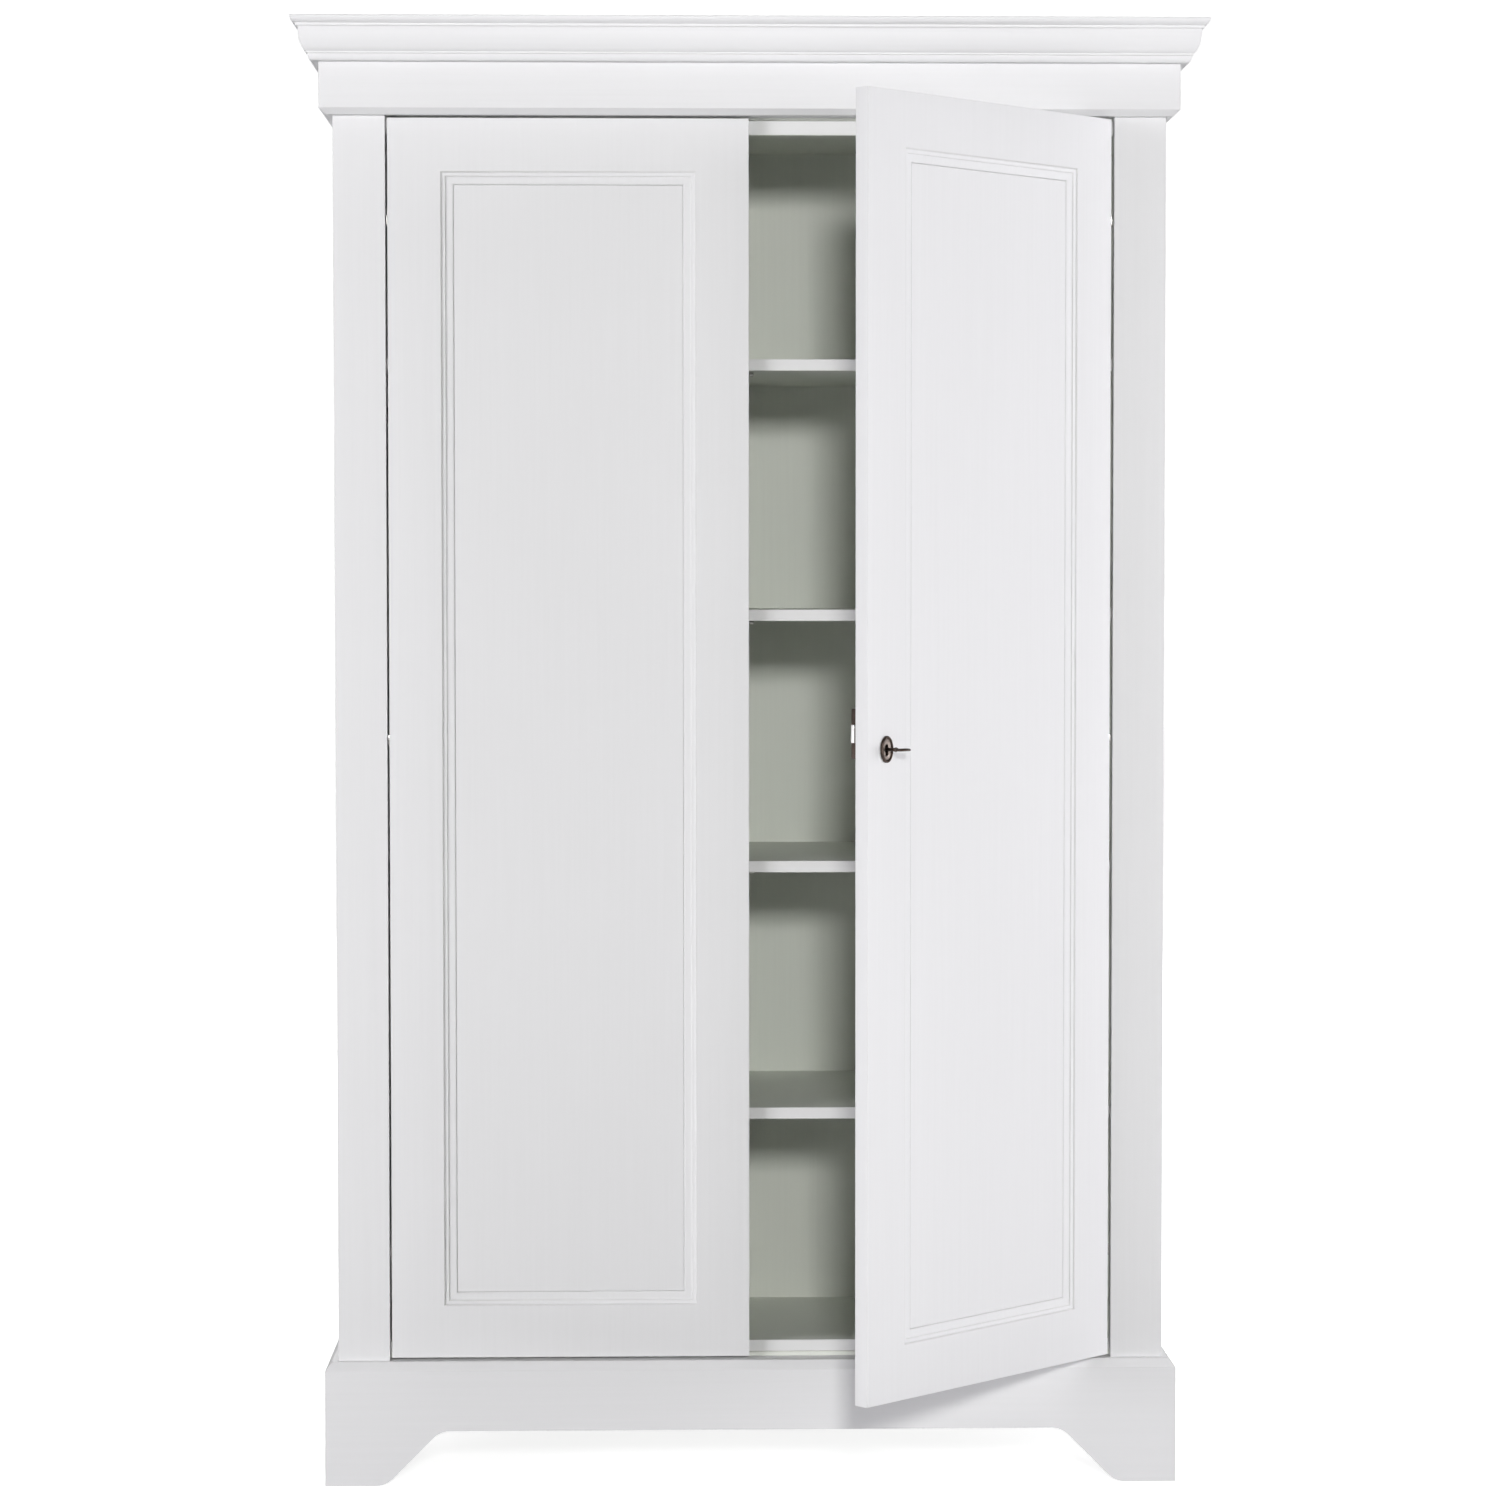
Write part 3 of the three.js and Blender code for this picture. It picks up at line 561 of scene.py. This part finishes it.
LEAF_EASE = 0.7 * MM
INNER_EASE = 0.3 * MM
CUP_BORE_R = 17.5 * MM
CUP_BORE_DEPTH = 12.3 * MM
CUP_BORE_TOOL = 20 * MM
KEY_Z = joint("key_turn")["pos_m"][2]
KEY_POINT = SHUT @ Vector(joint("key_turn")["pos_m"])
KEYHOLE_HALF_W = 2.9 * MM
KEYHOLE_UP = 6.5 * MM
KEYHOLE_DOWN = 8.5 * MM
SLEEVE_T = 0.5 * MM
SLEEVE_FIT = 0.1 * MM


def across_leaf(side, low, high):
    """A stretch of a door's width, given from its free edge outwards, as rising x."""
    return (low, high) if side > 0 else (-high, -low)


def cup_centre(side, height):
    low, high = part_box(f"left_hinge_cup_{height}")
    return Vector((-side * (low.x + high.x) / 2, 0, (low.z + high.z) / 2))


def keyhole(angle):
    """Radius of the keyhole's outline from the key's axis, in a direction from +x towards +z."""
    c, s = math.cos(angle), math.sin(angle)
    reach = KEYHOLE_UP if s > 0 else KEYHOLE_DOWN
    straight = reach - KEYHOLE_HALF_W
    side_hit = KEYHOLE_HALF_W / max(abs(c), 1e-6)
    if side_hit * abs(s) <= straight:
        return side_hit
    b = straight * abs(s)
    return b + math.sqrt(b * b - straight * straight + KEYHOLE_HALF_W ** 2)


def ring_round_key(bm, reach, y, steps):
    """A ring of vertices round the key's axis; reach gives its radius in each direction."""
    ring = []
    for k in range(steps):
        a = 2 * math.pi * k / steps
        ring.append(bm.verts.new((KEY_POINT.x + reach(a) * math.cos(a), y, KEY_Z + reach(a) * math.sin(a))))
    return ring


def keyhole_cutter():
    bm = bmesh.new()
    rings = [ring_round_key(bm, lambda a: keyhole(a) + SLEEVE_T + SLEEVE_FIT, y, 48)
             for y in widened((LEAF_FRONT_Y, LEAF_BACK_Y), 5 * MM)]
    loops_to_faces(bm, rings)
    for ring in rings:
        bm.faces.new(ring)
    return cutter(bm)


def make_door_frame(word, side):
    """The four members as one mitred ring, bored for the hinge cups and the keyhole."""
    t, w, e = LEAF_T, FRAME_W, LEAF_EASE
    section = [(e, 0)] + arc((e, e), (e, e), -90, -180, 4)[1:] + arc((e, t - e), (e, e), 180, 90, 4)
    section += [(w - INNER_EASE, t), (w, t - INNER_EASE), (w, INNER_EASE), (w - INNER_EASE, 0)]
    bm = bmesh.new()
    mitred_ring(bm, section, across_leaf(side, *LEAF_X), LEAF_Z, LEAF_FRONT_Y)
    tools = []
    for height in HEIGHTS:
        centre = cup_centre(side, height)
        bore = bmesh.new()
        turned(bore, [(0, 0), (CUP_BORE_R, 0), (CUP_BORE_R, CUP_BORE_TOOL), (0, CUP_BORE_TOOL)],
               (centre.x, LEAF_BACK_Y - CUP_BORE_DEPTH, centre.z), (0, 1, 0), segments=48)
        tools.append(cutter(bore))
    if side > 0:
        tools.append(keyhole_cutter())
    bm = subtract(bm, tools)
    replaced = [f"{word}_door_{p}" for p in ("hinge_stile", "meeting_stile", "top_rail", "bottom_rail")]
    place_piece(f"{word}_door_frame", bm, [PAINT["upright"]], f"{word}_door",
                replaced, move=PLACE[word])


def moulding_section():
    """(inset from the frame's inner edge, depth behind the face): two slopes, fillets, ovolo."""
    quarter = [math.radians(a) for a in (22.5, 45, 67.5, 90)]
    points = [(0.1, 0.25), (0.6, 0.5)]
    points += [(0.6 + 3.6 * (1 - math.cos(a)), 0.5 + 2.2 * math.sin(a)) for a in quarter]
    points += [(5.6, 2.7), (6.0, 2.9)]
    points += [(6.0 + 3.6 * (1 - math.cos(a)), 2.9 + 2.0 * math.sin(a)) for a in quarter]
    points += [(13.2, 4.95)]
    points += [(13.2 + 4.5 * math.sin(a), 4.95 + 2.5 * (1 - math.cos(a))) for a in quarter]
    points += [(17.7, 9.6), (0.1, 9.6)]
    return mm_points(points)


def make_door_moulding(word, side):
    bm = bmesh.new()
    x = across_leaf(side, LEAF_X[0] + FRAME_W, LEAF_X[1] - FRAME_W)
    z = (LEAF_Z[0] + FRAME_W, LEAF_Z[1] - FRAME_W)
    mitred_ring(bm, moulding_section(), x, z, LEAF_FRONT_Y)
    place_piece(f"{word}_door_panel_moulding", bm, [PAINT["upright"]], f"{word}_door",
                [f"{word}_door_moulding"], move=PLACE[word], smooth_deg=40)


# --- hinges ---------------------------------------------------------------------------------

# The cup's radii and wall, in mm as its profile is
CUP_R = 17.2
CUP_FLANGE_R = 20.5
CUP_WALL = 1.2
CUP_DEPTH = 12 * MM
LINK_OFFSET = 3 * MM
LINK_HALF_W = 8 * MM
LINK_HALF_H = 7.2 * MM
LINK_DEPTH = (1.6 * MM, 9 * MM)
# (radius, height) in mm, as in every profile below
LINK_PIN = ((0, -9.4), (1.5, -9.4), (1.8, -9), (1.8, 9), (1.5, 9.4), (0, 9.4))
LINK_PIN_X = (-5 * MM, 5 * MM)
LINK_PIN_DEPTH = 6 * MM
PLATE_T = 2.5 * MM
PLATE_FROM = 35.4 * MM
ARM_LENGTH = 61.4 * MM
ARM_OVERLAP = 0.2 * MM
ARM_HALF_H = 8 * MM
ARM_FROM = 12 * MM
ARM_BELOW_TOP = 2.2 * MM
NECK_LENGTH = 20 * MM
NECK_HALF_H = 6.8 * MM
NECK_OFF_PLATE = 1.2 * MM
NECK_BELOW_TOP = 0.4 * MM
PLATE_SCREW_INSET = 9 * MM
PLATE_SCREW_SPREAD = 17.5 * MM
PLATE_SCREW_R = 3.6 * MM
# (distance from the arm's end, radius)
ARM_SCREWS = ((8 * MM, 3.2 * MM), (24 * MM, 2.6 * MM))


def cup_profile(depth):
    """(radius, height) in mm from the cup's floor: a rounded floor edge, a flange, a hollow."""
    r, flange, wall = CUP_R, CUP_FLANGE_R, CUP_WALL
    points = [(0, 0), (r - 2, 0)]
    points += [(r - 2 + 2 * math.sin(a), 2 * (1 - math.cos(a))) for a in (0.4, 0.8, 1.2, 1.57)]
    points += [(r, depth - 1.2), (flange - 0.3, depth - 1.2), (flange, depth - 0.9), (flange, depth - 0.4)]
    points += [(flange - 0.5, depth), (r - wall + 0.6, depth), (r - wall, depth - 0.6), (r - wall, 3)]
    points += [(r - wall - 1.8, wall), (0, wall)]
    return points


def make_hinge_cup(word, side, height):
    """Cup with its link block and pins, on the door."""
    centre = cup_centre(side, height)
    floor_y = LEAF_BACK_Y - CUP_DEPTH
    lip_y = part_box(f"left_hinge_cup_{height}")[1].y
    bm = bmesh.new()
    profile = mm_points(cup_profile((lip_y - floor_y) / MM))
    turned(bm, profile, (centre.x, floor_y, centre.z), (0, 1, 0), segments=48)
    link_x = centre.x - side * LINK_OFFSET
    soft_box(bm, (link_x - LINK_HALF_W, floor_y + LINK_DEPTH[0], centre.z - LINK_HALF_H),
             (link_x + LINK_HALF_W, floor_y + LINK_DEPTH[1], centre.z + LINK_HALF_H), radius=1.2 * MM)
    for x in LINK_PIN_X:
        turned(bm, mm_points(LINK_PIN), (link_x + x, floor_y + LINK_PIN_DEPTH, centre.z), (0, 0, 1),
               segments=16)
    place_piece(f"{word}_hinge_cup_steel_{height}", bm, [STEEL], f"{word}_door",
                [f"{word}_hinge_cup_{height}"], move=PLACE[word])


def make_hinge_arm(word, side, height):
    """Plate, arm and screws, on the stile; laid out for the right side and mirrored for the left."""
    low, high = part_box(f"right_hinge_arm_{height}")
    mid_z = (low.z + high.z) / 2
    plate_y = low.y + PLATE_T
    arm_y = high.y - ARM_BELOW_TOP
    arm_end = low.x + ARM_LENGTH
    bm = bmesh.new()

    def block(x, y, z, radius):
        xs = sorted((side * x[0], side * x[1]))
        soft_box(bm, (xs[0], y[0], z[0]), (xs[1], y[1], z[1]), radius)

    block((low.x + PLATE_FROM, high.x), (low.y, plate_y), (low.z, high.z), radius=0.9 * MM)
    block((low.x + ARM_FROM, arm_end), (plate_y - ARM_OVERLAP, arm_y),
          widened((mid_z, mid_z), ARM_HALF_H), radius=1.4 * MM)
    block((low.x, low.x + NECK_LENGTH), (plate_y + NECK_OFF_PLATE, high.y - NECK_BELOW_TOP),
          widened((mid_z, mid_z), NECK_HALF_H), radius=1.6 * MM)
    screw_x = side * (high.x - PLATE_SCREW_INSET)
    for z in (mid_z + PLATE_SCREW_SPREAD, mid_z - PLATE_SCREW_SPREAD):
        screw_head(bm, (screw_x, plate_y, z), (0, 1, 0), PLATE_SCREW_R)
    for from_end, radius in ARM_SCREWS:
        screw_head(bm, (side * (arm_end - from_end), arm_y, mid_z), (0, 1, 0), radius)
    place_piece(f"{word}_hinge_arm_steel_{height}", bm, [STEEL], "carcass",
                [f"{word}_hinge_arm_{height}"])


def make_doors():
    for word, side in SIDES.items():
        make_door_frame(word, side)
        make_door_moulding(word, side)
        for height in HEIGHTS:
            make_hinge_cup(word, side, height)
            make_hinge_arm(word, side, height)


# --- lock -----------------------------------------------------------------------------------

CASE_INSET = 2.5 * MM
CASE_W = 46 * MM
CASE_T = 9.6 * MM
CASE_WALL = 1.0 * MM
CASE_Z = (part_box("lock_case")[0].z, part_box("lock_case")[1].z)
CASE_SCREW_R = 3.1 * MM
CASE_SCREW_INSET = (6 * MM, 6.5 * MM)
CASE_BOSS = ((0, 0), (6.4, 0), (6.0, 0.5), (4.4, 0.7), (0, 0.7))
SUNK = 0.2 * MM
BOLT_Z = (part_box("lock_bolt")[0].z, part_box("lock_bolt")[1].z)
BOLT_Y = (LEAF_FRONT_Y + 24.7 * MM, LEAF_FRONT_Y + 29.9 * MM)
BOLT_INSET = 0.2 * MM
BOLT_LENGTH = 30 * MM
SLOT_CLEARANCE = 0.6 * MM
KEEPER_CLEARANCE = 0.9 * MM
KEEPER_WALL = 2 * MM


def make_lock_case():
    front = LEAF_BACK_Y + GAP
    back = front + CASE_T
    x = (LEAF_X[0] + CASE_INSET, LEAF_X[0] + CASE_INSET + CASE_W)
    bm = bmesh.new()
    soft_box(bm, (x[0], front, CASE_Z[0]), (x[1], back, CASE_Z[1]), radius=1.2 * MM, segments=4)
    slot = box_cutter(widened((x[0], x[0]), 2 * CASE_WALL), widened(BOLT_Y, SLOT_CLEARANCE),
                      widened(BOLT_Z, SLOT_CLEARANCE))
    hollow = box_cutter(widened(x, -CASE_WALL), (front - CASE_WALL, back - CASE_WALL),
                        widened(CASE_Z, -CASE_WALL))
    bm = subtract(bm, [slot, hollow])
    for screw_x in widened(x, -CASE_SCREW_INSET[0]):
        for screw_z in widened(CASE_Z, -CASE_SCREW_INSET[1]):
            screw_head(bm, (screw_x, back - SUNK, screw_z), (0, 1, 0), CASE_SCREW_R, material=1)
    turned(bm, mm_points(CASE_BOSS), (KEY_POINT.x, back - SUNK, KEY_Z), (0, 1, 0), segments=32)
    place_piece("lock_case_pressed", bm, [LACQUER, STEEL], "right_door", ["lock_case"],
                move=OPENED)


def make_bolt():
    x = LEAF_X[0] + BOLT_INSET
    bm = bmesh.new()
    soft_box(bm, (x, BOLT_Y[0], BOLT_Z[0]), (x + BOLT_LENGTH, BOLT_Y[1], BOLT_Z[1]), radius=0.6 * MM)
    place_piece("lock_bolt_steel", bm, [BOLT_STEEL], "lock_bolt", ["lock_bolt"], move=OPENED)


def make_keeper():
    """A block on the left door with a mouth that the bolt enters."""
    low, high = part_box("lock_keeper")
    bm = bmesh.new()
    soft_box(bm, low, high, radius=1.0 * MM)
    mouth = box_cutter((low.x + KEEPER_WALL, high.x + 5 * MM), widened(BOLT_Y, KEEPER_CLEARANCE),
                       widened(BOLT_Z, KEEPER_CLEARANCE))
    bm = subtract(bm, [mouth])
    place_piece("lock_keeper_staple", bm, [LACQUER], "left_door", ["lock_keeper"])


# --- escutcheon and key ---------------------------------------------------------------------

ESCUTCHEON_HALF_W = 11 * MM
ESCUTCHEON_HALF_H = 17.6 * MM
SLEEVE_DEPTH = 17.0
# (share of the way from keyhole to rim, height off the door in mm), from the sleeve's inner end out
DISH = ((0.0, -SLEEVE_DEPTH), (0.0, 1.2), (0.04, 1.45), (0.25, 1.35), (0.5, 1.45), (0.62, 1.9))
RIM = ((0.66, 2.5), (0.71, 3.25), (0.77, 3.65), (0.84, 3.8), (0.91, 3.55), (0.97, 2.9), (1.0, 2.0),
       (1.0, 0.0))
ESCUTCHEON_STEPS = 96


def make_escutcheon():
    """An oval plate: rounded rim, dished middle, and a sleeve that lines the keyhole."""
    front = LEAF_FRONT_Y - GAP
    bm = bmesh.new()

    def ring(share, height):
        def reach(a):
            inner = keyhole(a)
            outer = 1 / math.hypot(math.cos(a) / ESCUTCHEON_HALF_W, math.sin(a) / ESCUTCHEON_HALF_H)
            return inner + (outer - inner) * share

        return ring_round_key(bm, reach, front - height * MM, ESCUTCHEON_STEPS)

    rings = [ring(share, height) for share, height in DISH + RIM]
    back = [ring_round_key(bm, lambda a: keyhole(a) + SLEEVE_T, front - height * MM, ESCUTCHEON_STEPS)
            for height in (0.0, -SLEEVE_DEPTH)]
    loops_to_faces(bm, rings[:2], material=0)
    loops_to_faces(bm, rings[1 : len(DISH)], material=1)
    loops_to_faces(bm, rings[len(DISH) - 1 :] + back + rings[:1], material=0)
    place_piece("escutcheon_oval", bm, [BRONZE, TAUPE_BRONZE], "right_door",
                ["escutcheon"], move=OPENED, smooth_deg=50)


# How far the key stands out of the door and how far in it ends; its radius is in mm
KEY_REACH = 40 * MM
KEY_END = 30.2 * MM
KEY_R = 2.2
BOW_OUTER_R = 10.5 * MM
BOW_RING_R = 8.7 * MM
BOW_HALF_W = 1.8 * MM
BOW_HALF_T = 1.6 * MM
BOW_SWELL = 0.12
BOW_SINK = 2 * MM
BOW_STEPS = 48
BOW_STEPS_ROUND = 14
COLLARS = ((0, 0), (1.6, 0), (2.3, 0.6), (2.3, 1.6), (1.9, 2.0), (1.9, 2.4), (3.1, 2.9), (3.1, 4.3),
           (1.9, 4.8), (1.9, 5.2), (2.5, 5.6), (2.5, 6.3), (KEY_R, 6.8))
BIT_DEPTH = (25 * MM, 29.9 * MM)
BIT_REACH = 7.6 * MM
BIT_HALF_T = 1.2 * MM


def make_key():
    """Oval bow, turned collars, pin and bit; it stands a quarter turn from upright."""
    tip_y = LEAF_FRONT_Y - KEY_REACH
    middle = Vector((KEY_POINT.x, tip_y + BOW_OUTER_R, KEY_Z))
    bm = bmesh.new()
    rings = []
    for k in range(BOW_STEPS):
        a = 2 * math.pi * k / BOW_STEPS
        out = Vector((math.cos(a), math.sin(a), 0))
        half_t = BOW_HALF_T * (1 + BOW_SWELL * math.cos(2 * a))
        ring = []
        for i in range(BOW_STEPS_ROUND):
            b = 2 * math.pi * i / BOW_STEPS_ROUND
            reach = BOW_RING_R + BOW_HALF_W * math.cos(b)
            ring.append(bm.verts.new(middle + out * reach + Vector((0, 0, half_t * math.sin(b)))))
        rings.append(ring)
    loops_to_faces(bm, rings, closed_run=True)
    start_y = tip_y + 2 * BOW_OUTER_R - BOW_SINK
    length = (LEAF_FRONT_Y + KEY_END - start_y) / MM
    profile = [*COLLARS, (KEY_R, length - 1.2), (KEY_R - 0.7, length), (0, length)]
    turned(bm, mm_points(profile), (KEY_POINT.x, start_y, KEY_Z), (0, 1, 0), segments=28)
    soft_box(bm, (KEY_POINT.x, LEAF_FRONT_Y + BIT_DEPTH[0], KEY_Z - BIT_HALF_T),
             (KEY_POINT.x + BIT_REACH, LEAF_FRONT_Y + BIT_DEPTH[1], KEY_Z + BIT_HALF_T),
             radius=0.4 * MM, segments=2)
    place_piece("key_bronze", bm, [BRONZE], "key", ["key"], move=OPENED, smooth_deg=50)


# --- rail, pins, nails ----------------------------------------------------------------------

RAIL_WALL = 1.2 * MM
# (radius beyond the tube's, height off the wall) in mm: a flange and a collar round the tube
SOCKET = ((0.3, 0), (6.5, 0), (6.5, 1.6), (6, 2.1), (2.4, 2.3), (2.0, 2.8), (2.0, 9.5), (1.5, 10),
          (0.3, 10), (0.3, 0))
SOCKET_SCREW_R = 1.8 * MM
SOCKET_SCREW_AT = 4.2 * MM
SOCKET_SCREW_SEAT = 1.9 * MM
SEAM_MERGE = 0.01 * MM


def make_rail():
    low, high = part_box("hanging_rail")
    centre_y, centre_z = (low.y + high.y) / 2, (low.z + high.z) / 2
    r = (high.z - low.z) / 2
    length = high.x - low.x
    bm = bmesh.new()
    profile = [(r, 0), (r, length), (r - RAIL_WALL, length), (r - RAIL_WALL, 0), (r, 0)]
    turned(bm, profile, (low.x, centre_y, centre_z), (1, 0, 0), segments=48)
    bmesh.ops.remove_doubles(bm, verts=bm.verts, dist=SEAM_MERGE)
    place_piece("hanging_rail_tube", bm, [CHROME], "carcass", ["hanging_rail"])
    bm = bmesh.new()
    socket = [(r + reach, height) for reach, height in mm_points(SOCKET)]
    for x, out in ((low.x, 1), (high.x, -1)):
        turned(bm, socket, (x, centre_y, centre_z), (out, 0, 0), segments=48)
        for y in widened((centre_y, centre_y), r + SOCKET_SCREW_AT):
            screw_head(bm, (x + out * SOCKET_SCREW_SEAT, y, centre_z), (out, 0, 0), SOCKET_SCREW_R)
    bmesh.ops.remove_doubles(bm, verts=bm.verts, dist=SEAM_MERGE)
    place_piece("hanging_rail_sockets", bm, [STEEL], "carcass")


SHELF_PIN = ((0, 0), (3.6, 0), (3.6, 0.9), (3.2, 1.2), (2.4, 1.2), (2.4, 8.4), (1.9, 9), (0, 9))
SHELF_PIN_INSET = 50 * MM
SHELF_PIN_DROP = 2.6 * MM


def make_shelf_pins():
    """Four pins under each shelf, two in each wall beside it."""
    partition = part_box("centre_partition")
    left_bay = ((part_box("side_panel_left")[1].x, 1), (partition[0].x, -1))
    right_bay = ((partition[1].x, 1), (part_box("side_panel_right")[0].x, -1))
    bm = bmesh.new()
    for node, walls in [(shelf, right_bay) for shelf in SHELVES] + [("hat_shelf", left_bay)]:
        low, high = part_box(node)
        for x, out in walls:
            for y in widened((low.y, high.y), -SHELF_PIN_INSET):
                turned(bm, mm_points(SHELF_PIN), (x, y, low.z - SHELF_PIN_DROP), (out, 0, 0), segments=20)
    place_piece("shelf_pins", bm, [STEEL], "carcass")


NAIL = ((0, -0.2), (2.6, -0.2), (2.6, 0.3), (2.1, 0.7), (0, 0.8))
NAIL_INSET_X = 9 * MM
NAIL_INSET_Z = 10 * MM
NAIL_STEPS_UP = 12
NAIL_STEPS_ACROSS = 5


def spaced(low, high, steps):
    return [low + k * (high - low) / steps for k in range(steps + 1)]


def make_back_nails():
    """Flat-headed nails round the edges of the back boards."""
    bm = bmesh.new()
    for node in ("back_panel_left", "back_panel_right"):
        low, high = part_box(node)
        xs = widened((low.x, high.x), -NAIL_INSET_X)
        zs = widened((low.z, high.z), -NAIL_INSET_Z)
        places = [(x, z) for x in xs for z in spaced(*zs, NAIL_STEPS_UP)]
        places += [(x, z) for z in zs for x in spaced(*xs, NAIL_STEPS_ACROSS)[1:-1]]
        for x, z in places:
            turned(bm, mm_points(NAIL), (x, high.y, z), (0, 1, 0), segments=14)
    place_piece("back_nails", bm, [STEEL], "carcass")


# --- floor and light ------------------------------------------------------------------------

FLOOR_COLOUR = (0.86, 0.86, 0.86)
FLOOR_FLECK = (0.88, 0.88, 0.88)
FLOOR_HALF = 12.0
# The studio's own glow near the object, where the lamps add to it, and far from it
GLOW = (0.84, 1.0)
GLOW_FROM = (2.5, 5.5)
DOME_RADIUS = 30.0
DOME_SINK = 0.02
DOME_STEPS = 16


def studio_material():
    box = Paintbox("studio_floor")
    grain = box.noise(box.place, 60, detail=3.0)
    box.link(box.mix(grain, FLOOR_COLOUR, FLOOR_FLECK), box.shader.inputs["Base Color"])
    box.shader.inputs["Roughness"].default_value = 0.8
    box.shader.inputs["Specular IOR Level"].default_value = 0.2
    box.shader.inputs["Emission Color"].default_value = (1, 1, 1, 1)
    away = box.add("ShaderNodeVectorMath", operation="LENGTH")
    box.link(box.place, away.inputs[0])
    glow = box.spread(away.outputs["Value"], GLOW_FROM, GLOW)
    box.link(glow, box.shader.inputs["Emission Strength"])
    return box.material


def stage_object(name, bm, material):
    mesh = bpy.data.meshes.new(name)
    bm.to_mesh(mesh)
    bm.free()
    mesh.materials.append(material)
    made = bpy.data.objects.new(name, mesh)
    bpy.context.scene.collection.objects.link(made)
    return made


def make_studio():
    """A flat floor, and far off all round it a pale dome that only the camera sees."""
    material = studio_material()
    bm = bmesh.new()
    bm.faces.new([bm.verts.new((x * FLOOR_HALF, y * FLOOR_HALF, 0))
                  for x, y in ((-1, -1), (1, -1), (1, 1), (-1, 1))])
    floor = stage_object("floor", bm, material)
    floor.visible_diffuse = False

    bm = bmesh.new()
    profile = [(0, -DOME_SINK), (DOME_RADIUS, -DOME_SINK)]
    for k in range(1, DOME_STEPS):
        a = k * math.pi / 2 / DOME_STEPS
        profile.append((DOME_RADIUS * math.cos(a), DOME_RADIUS * math.sin(a)))
    profile.append((0, DOME_RADIUS))
    turned(bm, profile, (0, 0, 0), (0, 0, 1), segments=64)
    dome = stage_object("dome", bm, material)
    dome.visible_diffuse = False
    dome.visible_glossy = False
    dome.visible_transmission = False
    dome.visible_shadow = False


LIT_POINT = Vector((0, -0.4, 1.05))
# name, azimuth from the front (right positive), elevation, distance, watts, width, colour
LIGHTS = (
    ("key", 1.0, 12.2, 7.85, 245.0, 0.7, (1.0, 1.0, 0.985)),
    ("left", -52.0, 2.0, 8.0, 400.0, 3.2, (1.0, 0.99, 1.03)),
    ("right", 72.0, 2.0, 8.0, 500.0, 4.2, (1.0, 0.99, 1.03)),
    ("back", 180.0, 20.0, 8.0, 440.0, 3.2, (1.0, 1.0, 1.0)),
)
# A sheet of light on the floor in front, for what a white floor throws up
BOUNCE_SIZE = (4.0, 2.4)
BOUNCE_PLACE = (0.0, -2.2, 0.02)
BOUNCE_WATTS = 12.0
WORLD_STRENGTH = 0.03


def area_light(name, size, watts):
    data = bpy.data.lights.new(name, "AREA")
    data.shape = "RECTANGLE"
    data.size, data.size_y = size
    data.energy = watts
    light = bpy.data.objects.new(name, data)
    bpy.context.scene.collection.objects.link(light)
    light.visible_camera = False
    return light


def make_lights():
    for name, azimuth, elevation, distance, watts, width, colour in LIGHTS:
        light = area_light(name, (width, width), watts)
        light.data.color = colour
        a, e = math.radians(azimuth), math.radians(elevation)
        away = Vector((math.sin(a) * math.cos(e), -math.cos(a) * math.cos(e), math.sin(e)))
        light.location = LIT_POINT + away * distance
        light.rotation_euler = (-away).to_track_quat("-Z", "Y").to_euler()
    bounce = area_light("bounce", BOUNCE_SIZE, BOUNCE_WATTS)
    bounce.location = BOUNCE_PLACE
    bounce.rotation_euler = (math.pi, 0, 0)


def make_world():
    world = bpy.data.worlds.new("studio")
    world.use_nodes = True
    background = world.node_tree.nodes["Background"]
    background.inputs["Color"].default_value = (1, 1, 1, 1)
    background.inputs["Strength"].default_value = WORLD_STRENGTH
    bpy.context.scene.world = world
    bpy.context.scene.view_settings.view_transform = "Standard"


dress_boards()
make_crown()
make_doors()
make_lock_case()
make_bolt()
make_keeper()
make_escutcheon()
make_key()
make_rail()
make_shelf_pins()
make_back_nails()
make_studio()
make_lights()
make_world()
